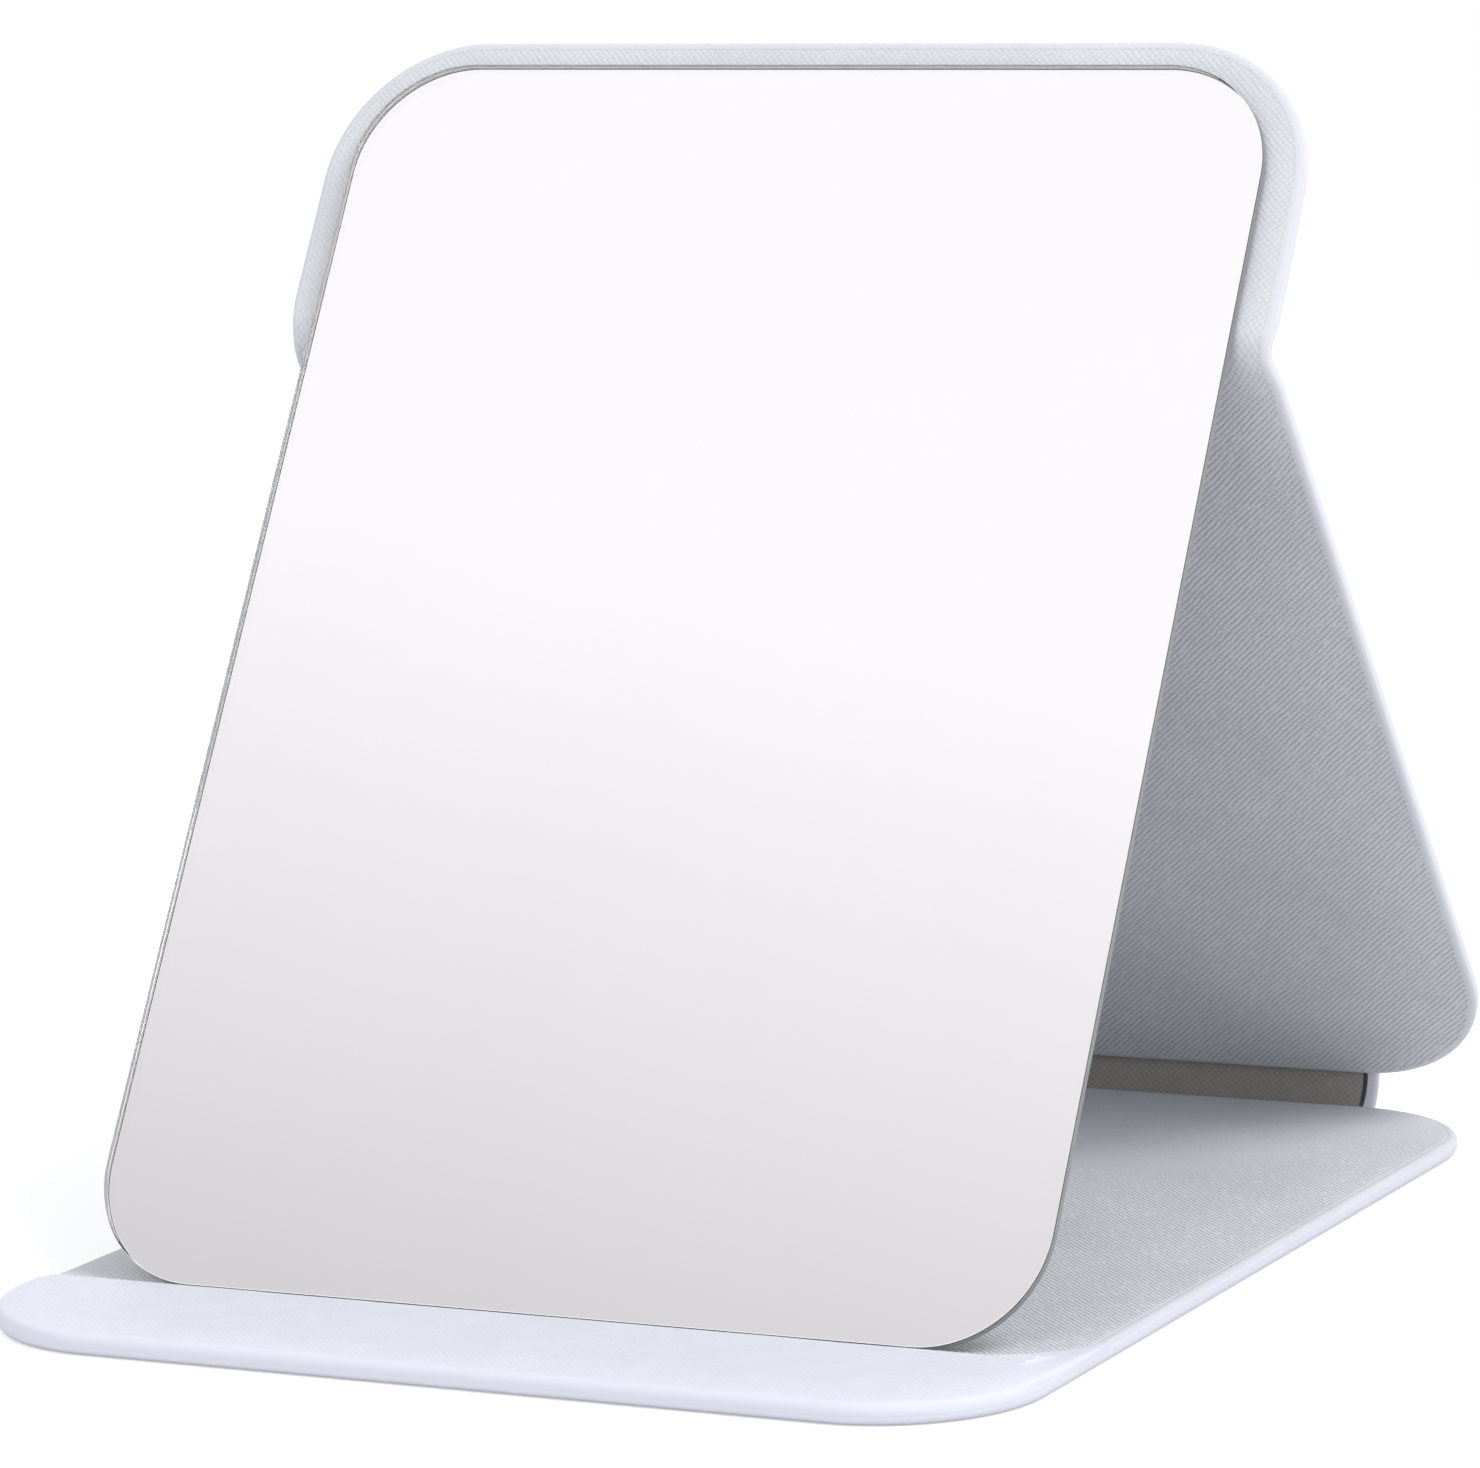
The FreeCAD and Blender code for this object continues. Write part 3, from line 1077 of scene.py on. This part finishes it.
@dataclass
class FrontLip:
    """Raised lip along the base's front edge, where the glass stands: leather over a board strip."""

    cover: FrontCover
    layers: Layers = LAYERS
    core: float = 0.9
    core_setback: float = 9.0
    core_round: float = 0.225
    core_steps: int = 3
    rim_radius: float = 0.9
    proud: float = 0.04
    corner_radius: float = 2.0
    corner_steps: int = 32
    rim_margin: float = 0.5
    end_step: float = 0.5
    front_step: float = 0.6
    top_step: float = 2.5
    middle_step: float = 4.0
    front_drop: float = 0.88
    drop_reach: float = 7.5
    drop_curve: float = 2.2
    brow_drop: float = 0.26
    brow_reach: float = 1.2
    side_spare: dict[Hand, float] = field(default_factory=lambda: {Hand.LEFT: 0.96, Hand.RIGHT: 1.0})
    sag_reach: dict[Hand, float] = field(default_factory=lambda: {Hand.LEFT: 2.5, Hand.RIGHT: 10.0})
    sag_slant: float = 0.8
    sag_share: float = 0.96
    tail_length: dict[Hand, float] = field(default_factory=lambda: {Hand.LEFT: 0.0, Hand.RIGHT: 18.0})
    tail_width: float = 13.0
    tail_start: float = 14.0
    tail_curve: float = 2.2
    tuck_height: dict[Hand, float] = field(default_factory=lambda: {Hand.LEFT: 0.0, Hand.RIGHT: 0.6})
    tuck_width: float = 0.45
    tuck_slant: float = 0.4
    tuck_start: float = 2.6
    tuck_middle: float = 5.0
    tuck_reach: float = 3.0
    wave_height: float = 0.05
    wave_across: float = 0.07
    wave_along: float = 0.12
    wave_seed: float = 3.0

    @property
    def top(self) -> float:
        """Height of the lip's top above the middle of the cover."""
        return self.layers.board_high + self.core + self.layers.outer

    def build(self) -> None:
        """Make the board strip and the leather over it."""
        self.build_core()
        self.build_leather()

    def build_core(self) -> None:
        """Board strip, cut short of the lip's ends and front, where the leather falls off."""
        inner = self.cover.outline.shrunk(self.core_setback)
        rear = self.cover.lip_rear - self.layers.outer
        low = self.layers.board_high
        sheet = SheetMesh(replace(inner, high=rear, high_radius=self.core_setback), low, low + self.core)
        sheet.round_rim(Side.INNER, self.core_round, self.core_steps)
        sheet.bend(self.cover.path)
        piece = sheet.to_piece("lip_board", [GREY_BOARD.material()])
        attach(piece, Body.BASE.value)
        dress(piece, Slot.BOARD, "lip_core")

    def build_leather(self) -> None:
        """Leather that wraps the front edge and sinks into the sides at its ends."""
        cover = self.cover
        grown = cover.outline.shrunk(-self.proud)
        plan = replace(grown, high=cover.lip_rear, high_radius=self.corner_radius)
        sheet = SheetMesh(plan, 0.0, self.top, self.corner_steps)
        sheet.round_rim(Side.INNER, self.rim_radius, self.layers.rim_steps)
        sheet.sink(Side.OUTER, self.layers.outer, self.top - self.layers.outer)
        front_soft = -cover.half_length + self.drop_reach
        rear_soft = cover.lip_rear - self.tail_start
        end = cover.half_width - self.tail_width
        soft_ends = spaced(end, cover.half_width - self.rim_margin, self.end_step)
        for hand in Hand:
            sheet.cut(ACROSS, [hand.value * place for place in soft_ends])
        sheet.cut(ACROSS, spaced(-end, end, self.middle_step)[1:-1])
        sheet.cut(ALONG, spaced(-cover.half_length + self.rim_margin, front_soft, self.front_step))
        sheet.cut(ALONG, spaced(front_soft, rear_soft, self.top_step)[1:-1])
        sheet.cut(ALONG, spaced(rear_soft, cover.lip_rear - self.rim_margin, self.end_step))
        sheet.stamp()
        sheet.move(self.settle)
        sheet.bend(cover.path)
        piece = sheet.to_piece("lip_leather", [OUTER_LEATHER.material("lip", cover.outline)])
        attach(piece, Body.BASE.value)
        dress(piece, Slot.OUTER, "lip_cover")

    def settle(self, flat: Vector) -> Vector:
        """Let the lip's leather fall off at its front, sag at its ends and run on along the sides.

        Args:
            flat: A point of the straight lip.

        Returns:
            The point after it settles.
        """
        hand = Hand.RIGHT if flat.x > 0 else Hand.LEFT
        side = max(0.0, self.cover.half_width - abs(flat.x))
        back = max(0.0, self.cover.lip_rear - flat.y)
        taper = max(0.0, 1.0 - side / self.tail_width) ** self.tail_curve
        along = flat.y + self.tail_length[hand] * taper * ease(1.0 - back / self.tail_start)
        base = self.layers.half
        above = flat.z - base
        if above <= 0:
            return Vector((flat.x, along, flat.z))
        near = ease(1.0 - math.hypot(side, back * self.sag_slant) / self.sag_reach[hand])
        wave_place = Vector((flat.x * self.wave_across, flat.y * self.wave_along, self.wave_seed))
        folds = self.tuck(hand, side, back) + self.wave_height * noise.noise(wave_place)
        height = above * (1.0 - self.sag_share * near) + folds * min(1.0, above)
        return Vector((flat.x, along, base + (height - self.fall(hand, flat) * (1.0 - near))))

    def tuck(self, hand: Hand, side: float, back: float) -> float:
        """Find how far the small tuck near an end of the lip lifts its leather.

        Args:
            hand: The end of the lip.
            side: Distance in from the side edge.
            back: Distance in from the rear edge.

        Returns:
            The height that the tuck adds.
        """
        line = (side - back * self.tuck_slant - self.tuck_start) / self.tuck_width
        span = ease(1.0 - abs(back - self.tuck_middle) / self.tuck_reach)
        return self.tuck_height[hand] * math.exp(-line * line) * span

    def fall(self, hand: Hand, flat: Vector) -> float:
        """Find how far the lip's leather falls off towards its outer edge.

        Args:
            hand: The end of the lip that the point is nearer to.
            flat: A point of the straight lip.

        Returns:
            The height that it loses.
        """
        spared = Vector((flat.x * self.side_spare[hand], flat.y, flat.z))
        inside = self.cover.outline.depth_inside(spared)
        drop = self.front_drop * min(1.0, max(0.0, 1.0 - inside / self.drop_reach)) ** self.drop_curve
        return drop + self.brow_drop * max(0.0, 1.0 - max(0.0, inside) / self.brow_reach) ** 2


@dataclass
class Spine:
    """Soft strip without a board that joins the two covers, bowed outwards between its two folds."""

    folds: Folds
    half_width: float = 60.5
    chord: float = 6.8
    bow: float = 0.7
    outer: float = 0.8
    lining: float = 0.6
    rim: float = 1.7
    rim_rise: float = 0.15
    fold_radius: float = 1.1
    tab: float = 2.0
    steps_apart: float = 0.1
    end_gap: float = 0.9
    end_steps: int = 6
    lining_round: float = 0.25
    finish_run: float = 50.0
    finish_corner: float = 4.0

    @property
    def half(self) -> float:
        """Half the thickness of the spine."""
        return (self.outer + self.lining) / 2

    @property
    def path(self) -> SheetPath:
        """Line from inside the base's edge, round both folds and into the back cover's edge."""
        radius = (self.chord ** 2 / 4 + self.bow ** 2) / (2 * self.bow)
        half_turn = math.asin(self.chord / 2 / radius)
        trim = self.fold_radius * math.tan((self.folds.spine_rise - half_turn) / 2)
        slip = trim / radius
        lower = self.folds.spine_rise - half_turn + slip
        upper = self.folds.back_angle - self.folds.spine_rise - half_turn + slip
        legs = (
            Leg(self.tab),
            Leg(self.fold_radius * lower, lower),
            Leg(radius * 2 * (half_turn - slip), 2 * (half_turn - slip)),
            Leg(self.fold_radius * upper, upper),
            Leg(self.tab),
        )
        start = (self.folds.base_axis[0] - trim - self.tab, self.folds.base_axis[1])
        return SheetPath(start, 0.0, legs)

    def build(self) -> None:
        """Make the outer leather and the lining, each in a lower and an upper half."""
        whole = self.path.length
        lengths = [leg.length for leg in self.path.legs]
        lower_bend = (sum(lengths[:1]), sum(lengths[:2]))
        upper_bend = (sum(lengths[:3]), sum(lengths[:4]))
        lower = Outline(self.half_width, 0.0, whole / 2, 0.0, 0.0)
        upper = Outline(self.half_width, whole / 2, whole, 0.0, 0.0)
        self.build_half("lower", lower, lower_bend, "base_fold")
        self.build_half("upper", upper, upper_bend, "back_fold")

    def build_half(
        self, label: str, plan: Outline, bend: tuple[float, float], fold: str
    ) -> None:
        """Make one half of the spine, bent round its own fold.

        Args:
            label: Name of the half.
            plan: Plan of the half.
            bend: Where along the spine its fold starts and ends.
            fold: Frame node of the fold.
        """
        leather = OUTER_LEATHER.material(f"spine {label}", self.finish_plan)
        # The spine's lining takes the darker copy of the lining leather, which is painted shade.
        grey = SPINE_LINING_PAINTED_SHADE.material(f"spine {label}", self.finish_plan)
        skin_piece = self.lay(self.skin(plan), f"spine_outer_{label}", [leather, SPINE_GAP_SHADE.material()])
        lining_piece = self.lay(self.lining_strip(plan), f"spine_lining_{label}", [grey])
        ends = [self.path.place(Vector((0.0, place, 0.0))) for place in bend]
        for piece in (skin_piece, lining_piece):
            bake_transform(piece)
        dress(skin_piece, Slot.OUTER, "spine_outer_cover", fold)
        dress(lining_piece, Slot.LINING, "spine_lining")

    @property
    def finish_plan(self) -> Outline:
        """Plan for the finish, so long that only the two ends across the spine are turned edges."""
        high = self.finish_run + self.path.length
        return Outline(self.half_width, -self.finish_run, high, self.finish_corner, self.finish_corner)

    def skin(self, plan: Outline) -> SheetMesh:
        """Shape the outer leather, turned up at both ends of the spine, with a well for the lining.

        Args:
            plan: Plan of this half of the spine.

        Returns:
            The flat leather, with the second finish, a dark painted shade, inside the well.
        """
        sheet = SheetMesh(plan, -self.half, self.half + self.rim_rise)
        for side in Side:
            self.round_ends(sheet, side, self.half)
        inner = self.half_width - self.rim
        sheet.cut_face(Side.INNER, ACROSS, (-inner, inner))
        well = sheet.face_on(Side.INNER)
        across = [edge for edge in well.edges if abs(edge.verts[0].co.y - edge.verts[1].co.y) < SAME]
        depth = -self.lining - self.rim_rise
        walls = bmesh.ops.inset_region(
            sheet.mesh, faces=[well], thickness=0.0, depth=depth, use_boundary=True
        )["faces"]
        # The well's floor and walls take the dark painted shade.
        for face in (well, *walls):
            face.material_index = 1
        bmesh.ops.dissolve_edges(sheet.mesh, edges=across, use_verts=False)
        return sheet

    def lining_strip(self, plan: Outline) -> SheetMesh:
        """Shape the lining between the turned ends.

        Args:
            plan: Plan of this half of the spine.

        Returns:
            The flat lining.
        """
        strip = replace(plan, half_width=self.half_width - self.rim - self.end_gap)
        sheet = SheetMesh(strip, self.half - self.lining, self.half)
        self.round_ends(sheet, Side.INNER, self.lining_round)
        return sheet

    def round_ends(self, sheet: SheetMesh, side: Side, radius: float) -> None:
        """Round the two edges of one side that run along the sheet."""
        edges = [
            edge for edge in sheet.face_on(side).edges
            if abs(edge.verts[0].co.x - edge.verts[1].co.x) < SAME
        ]
        sheet.round_edges(edges, radius, self.end_steps)

    def lay(
        self, sheet: SheetMesh, name: str, materials: list[bpy.types.Material]
    ) -> bpy.types.Object:
        """Divide a flat half of the spine, bend it and make its piece.

        Args:
            sheet: The flat half.
            name: Name of the piece.
            materials: Its finishes.

        Returns:
            The new piece.
        """
        low, high = sheet.outline.low, sheet.outline.high
        sheet.cut(ALONG, spaced(low, high, self.steps_apart)[1:-1])
        sheet.stamp()
        sheet.bend(self.path)
        return sheet.to_piece(name, materials)


@dataclass
class BackCover:
    """Back cover from the spine to its top edge, creased across so that the top section tips back."""

    folds: Folds
    layers: Layers = LAYERS
    half_width: float = 82.5
    length: float = 213.2
    top_length: float = 51.1
    fold_gap: float = 0.9
    crease_radius: float = 4.8
    crease_thinning: float = 0.5
    crease_pinch: float = 0.6
    pinch_reach: float = 12.0
    crease_steps: int = 18
    lead: float = 0.12
    top_grain: float = 0.32
    top_tone: float = 0.03

    @property
    def crease_turn(self) -> float:
        """How far the cover turns at its crease, which is away from the inner side."""
        return self.folds.top_angle - self.folds.back_angle

    @property
    def crease_trim(self) -> float:
        """Length that the round of the crease takes off each section."""
        return self.crease_radius * math.tan(abs(self.crease_turn) / 2)

    @property
    def crease_start(self) -> float:
        """Place along the sheet where the crease begins."""
        return self.length - self.top_length - self.crease_trim

    @property
    def crease_length(self) -> float:
        """Length of the crease along the sheet."""
        return self.crease_radius * abs(self.crease_turn)

    @property
    def path(self) -> SheetPath:
        """Line up the lower section, round the crease and up the top section."""
        legs = (
            Leg(self.crease_start),
            Leg(self.crease_length, self.crease_turn),
            Leg(self.top_length - self.crease_trim),
        )
        return SheetPath(self.folds.back_axis, self.folds.back_angle, legs)

    @property
    def outline(self) -> Outline:
        """Plan of the whole cover laid flat."""
        radius = self.layers.corner_radius
        return Outline(self.half_width, self.fold_gap, self.path.length, radius, radius)

    def build(self) -> None:
        """Make the outer leather and the lining, both in one piece across the crease."""
        skin = self.lay(self.layers.skin(self.outline), "back_outer_leather", OUTER_LEATHER, BACK_LINING)
        dress(skin, Slot.OUTER, "back_outer_cover", "crease_fold", "top_outer_cover")
        flat_lining = self.layers.lining_sheet(self.outline.shrunk(self.layers.edge_turn))
        lining = self.lay(flat_lining, "back_lining_leather", BACK_LINING)
        dress(lining, Slot.LINING, "back_lining", "top_lining")

    def lay(self, sheet: SheetMesh, name: str, *leathers: Leather) -> bpy.types.Object:
        """Bend a flat sheet of the cover along its line, round the crease.

        Args:
            sheet: The flat sheet.
            name: Name of the piece.
            leathers: Its finishes.

        Returns:
            The new piece.
        """
        crease_end = self.crease_start + self.crease_length
        step = self.crease_length / self.crease_steps
        spread = self.crease_length / 2
        sheet.cut(ALONG, spaced(self.crease_start - spread, crease_end + spread, step))
        sheet.stamp()
        sheet.move(self.press)
        sheet.bend(self.path)
        calm = Calm(self.crease_start, share=self.top_grain, tone=self.top_tone)
        materials = [leather.material("back", self.outline, self.lead, calm) for leather in leathers]
        piece = sheet.to_piece(name, materials)
        ends = [self.path.place(Vector((0.0, place, 0.0))) for place in (self.crease_start, crease_end)]
        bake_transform(piece)
        return piece

    def press(self, flat: Vector) -> Vector:
        """Press the outer face in along the crease, where there is no board, and draw its ends in.

        Args:
            flat: A point of the flat sheet.

        Returns:
            The pressed point.
        """
        away = abs(flat.y - self.crease_start - self.crease_length / 2) / self.crease_length
        near = ease(1.0 - away)
        rise = self.crease_thinning * near if flat.z < self.layers.board_low else 0.0
        end = ease(1.0 - (self.half_width - abs(flat.x)) / self.pinch_reach)
        drawn = math.copysign(self.crease_pinch * near * end, flat.x)
        return Vector((flat.x - drawn, flat.y, flat.z + rise))


@dataclass
class MirrorGlass:
    """Frameless glass with a ground edge, and the silver coat with its paint on the back."""

    folds: Folds
    layers: Layers = LAYERS
    half_width: float = 76.8
    length: float = 201.8
    thickness: float = 1.5
    corner_radius: float = 18.4
    corner_steps: int = 40
    foot_sink: float = 0.15
    chamfer: float = 0.2
    chamfer_steps: int = 2
    back_arris: float = 0.12
    arris_steps: int = 1
    ground_below: float = 0.2
    top_section: float = 51.1
    top_margin: float = 5.2
    tape: float = 0.7
    coat: float = 0.1
    coat_inset: float = 0.1
    coat_gap: float = 0.02
    painted_below: float = 0.9

    @property
    def path(self) -> SheetPath:
        """Straight line up the top section from the crease."""
        return SheetPath(self.folds.crease_axis, self.folds.top_angle, (Leg(self.length),))

    @property
    def outline(self) -> Outline:
        """Plan of the glass."""
        top = self.top_section - self.top_margin
        foot = top - self.length - self.foot_sink
        return Outline(self.half_width, foot, top, self.corner_radius, self.corner_radius)

    @property
    def back(self) -> float:
        """Height of the glass's back above the middle of the cover."""
        return self.layers.half + self.tape + self.coat

    def build(self) -> None:
        """Make the glass and its coat."""
        self.build_glass()
        self.build_coat()

    def build_glass(self) -> None:
        """Glass with a ground side, a bright chamfer in front and a small arris behind."""
        sheet = SheetMesh(self.outline, self.back, self.back + self.thickness, self.corner_steps)
        sheet.round_rim(Side.INNER, self.chamfer, self.chamfer_steps)
        sheet.round_rim(Side.OUTER, self.back_arris, self.arris_steps)
        for face in sheet.mesh.faces:
            face.material_index = int(abs(face.normal.z) < self.ground_below)
        sheet.bend(self.path)
        piece = sheet.to_piece("mirror_plate", [CLEAR_GLASS.material(), GROUND_GLASS.material()])
        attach(piece, Body.MIRROR.value)
        dress(piece, Slot.GLASS, "mirror_glass")

    def build_coat(self) -> None:
        """Silver coat behind the glass: bright towards it, painted behind."""
        plan = self.outline.shrunk(self.coat_inset)
        sheet = SheetMesh(plan, self.back - self.coat, self.back - self.coat_gap, self.corner_steps)
        for face in sheet.mesh.faces:
            face.material_index = int(face.normal.z < self.painted_below)
        sheet.bend(self.path)
        piece = sheet.to_piece("mirror_silvering", [Silver().material(), MIRROR_PAINT.material()])
        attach(piece, Body.MIRROR.value)
        dress(piece, Slot.SILVER, "mirror_silver_coat")


@dataclass(frozen=True)
class HiddenLayers:
    """Boards and tape inside the covers, which keep the frame's own shapes."""

    boards: tuple[str, ...] = ("base_board", "back_board", "top_board")
    tapes: tuple[str, ...] = ("mirror_tape_lower", "mirror_tape_upper")

    def build(self) -> None:
        """Give the boards and tapes their finishes."""
        for names, finish in ((self.boards, GREY_BOARD), (self.tapes, FOAM_TAPE)):
            material = finish.material()
            for name in names:
                materials = frame["nodes"][name].data.materials
                materials.clear()
                materials.append(material)
                log.info("%s: keeps its shape, finish %s", name, finish.name)


# Camera, floor and light


@dataclass(frozen=True)
class PhotoCamera:
    """Camera at the photograph's angle, from a fit to the straight edges in it."""

    azimuth: float = math.radians(25.82)
    elevation: float = math.radians(8.61)
    roll: float = math.radians(-1.52)
    focal_pixels: float = 6960.0
    image_width: float = 1480.0
    sensor: float = 36.0
    nearest: float = 0.01
    farthest: float = 100.0
    place: Vector = field(default_factory=lambda: Vector((453.69, -939.94, 235.21)) * MM)

    def build(self) -> None:
        """Make the camera and put it to use."""
        data = bpy.data.cameras.new("photo_camera")
        data.sensor_width = self.sensor
        data.lens = self.sensor * self.focal_pixels / self.image_width
        data.clip_start = self.nearest
        data.clip_end = self.farthest
        ahead = Vector((
            -math.sin(self.azimuth) * math.cos(self.elevation),
            math.cos(self.azimuth) * math.cos(self.elevation),
            -math.sin(self.elevation),
        ))
        level = Vector((math.cos(self.azimuth), math.sin(self.azimuth), 0.0))
        upright = level.cross(ahead)
        right = math.cos(self.roll) * level + math.sin(self.roll) * upright
        up = -math.sin(self.roll) * level + math.cos(self.roll) * upright
        camera = bpy.data.objects.new("photo_camera", data)
        turned = Matrix((right, up, -ahead)).transposed().to_4x4()
        camera.matrix_world = Matrix.Translation(self.place) @ turned
        bpy.context.scene.collection.objects.link(camera)
        bpy.context.scene.camera = camera


@dataclass(frozen=True)
class Lamp:
    """Large square soft lamp that looks at the mirror from a direction, in degrees from the front."""

    name: str
    azimuth: float
    elevation: float
    level: float
    distance: float = 2.2
    size: float = 1.0
    target: Vector = field(default_factory=lambda: Vector((0.0, 0.0, 0.08)))

    def build(self) -> None:
        """Make the lamp; at level 1 it lights a white surface that faces it to white."""
        azimuth, elevation = math.radians(self.azimuth), math.radians(self.elevation)
        way = Vector((
            math.sin(azimuth) * math.cos(elevation),
            -math.cos(azimuth) * math.cos(elevation),
            math.sin(elevation),
        ))
        data = bpy.data.lights.new(self.name, "AREA")
        data.size = self.size
        data.energy = self.level * (math.pi * self.distance) ** 2
        lamp = bpy.data.objects.new(self.name, data)
        lamp.location = self.target + way * self.distance
        lamp.rotation_mode = "QUATERNION"
        lamp.rotation_quaternion = (-way).to_track_quat("-Z", "Y")
        lamp.visible_glossy = False
        bpy.context.scene.collection.objects.link(lamp)


@dataclass(frozen=True)
class Studio:
    """Plain pale floor, even light from all round and soft lamps."""

    floor_size: float = 3.0
    floor_drop: float = 0.0002
    floor_colour: Colour = (0.82, 0.82, 0.83)
    floor_roughness: float = 0.9
    floor_lift: float = 0.42
    light: float = 0.705
    backdrop_low: Colour = (0.64, 0.64, 0.64)
    backdrop_axis: tuple[float, float, float] = (0.160, 0.688, 0.707)
    backdrop_start: float = -0.045
    backdrop_end: float = 0.075
    lamps: tuple[Lamp, ...] = (
        Lamp("right_lamp", azimuth=90.0, elevation=50.0, level=0.475),
        Lamp("front_lamp", azimuth=0.0, elevation=35.0, level=0.17),
    )

    def build(self) -> None:
        """Make the floor, the surrounding light and the lamps."""
        self.build_floor()
        self.build_world()
        for lamp in self.lamps:
            lamp.build()

    def build_floor(self) -> None:
        """Floor that shows white to the camera and keeps the soft shadow."""
        plane = bmesh.new()
        bmesh.ops.create_grid(plane, x_segments=1, y_segments=1, size=self.floor_size / 2)
        bmesh.ops.translate(plane, verts=plane.verts[:], vec=(0.0, 0.0, -self.floor_drop))
        data = bpy.data.meshes.new("studio_floor")
        plane.to_mesh(data)
        plane.free()
        finish = Finish("studio floor")
        rays = finish.wiring.add("ShaderNodeLightPath")
        lift = finish.wiring.math("MULTIPLY", rays.outputs["Is Camera Ray"], self.floor_lift)
        finish.set(
            Base_Color=self.floor_colour, Roughness=self.floor_roughness, Specular_IOR_Level=0.0,
            Emission_Color=WHITE, Emission_Strength=lift,
        )
        data.materials.append(finish.material)
        floor = bpy.data.objects.new("studio_floor", data)
        bpy.context.scene.collection.objects.link(floor)

    def build_world(self) -> None:
        """Even light, seen as a white backdrop that falls off to grey low in front of the mirror."""
        world = bpy.data.worlds.new("studio")
        world.use_nodes = True
        bpy.context.scene.world = world
        wiring = Wiring(world.node_tree)
        rays = wiring.add("ShaderNodeLightPath").outputs
        mirrored = wiring.math("MAXIMUM", rays["Is Glossy Ray"], rays["Is Transmission Ray"])
        seen = wiring.math("MAXIMUM", rays["Is Camera Ray"], mirrored)
        heading = wiring.add("ShaderNodeTexCoord").outputs["Generated"]
        height = wiring.dot(heading, self.backdrop_axis)
        limits = {"From Min": self.backdrop_start, "From Max": self.backdrop_end}
        rise = wiring.add("ShaderNodeMapRange", {"Value": height, **limits}).outputs["Result"]
        clear = wiring.math("MAXIMUM", rays["Is Camera Ray"], rise)
        tint = wiring.blend(clear, self.backdrop_low, WHITE)
        backdrop = wiring.add("ShaderNodeBackground", {"Color": tint, "Strength": 1.0})
        ambient = world.node_tree.nodes["Background"]
        wiring.feed(ambient.inputs["Color"], WHITE)
        wiring.feed(ambient.inputs["Strength"], self.light)
        mix = wiring.add("ShaderNodeMixShader", {0: seen, 1: ambient.outputs[0], 2: backdrop.outputs[0]})
        wiring.feed(world.node_tree.nodes["World Output"].inputs["Surface"], mix.outputs[0])


def main() -> None:
    """Build the mirror, its camera and its studio, and log each piece."""
    logging.basicConfig(level=logging.INFO, format="%(message)s")
    folds = Folds.from_frame(frame["record"])
    PhotoCamera().build()
    cover = FrontCover()
    covers = (cover, FrontLip(cover), Spine(folds), BackCover(folds))
    for part in (*covers, MirrorGlass(folds), HiddenLayers(), Studio()):
        part.build()
        log.info("%s done", type(part).__name__)
    bpy.context.scene.view_settings.view_transform = "Standard"


if __name__ == "__main__":
    main()
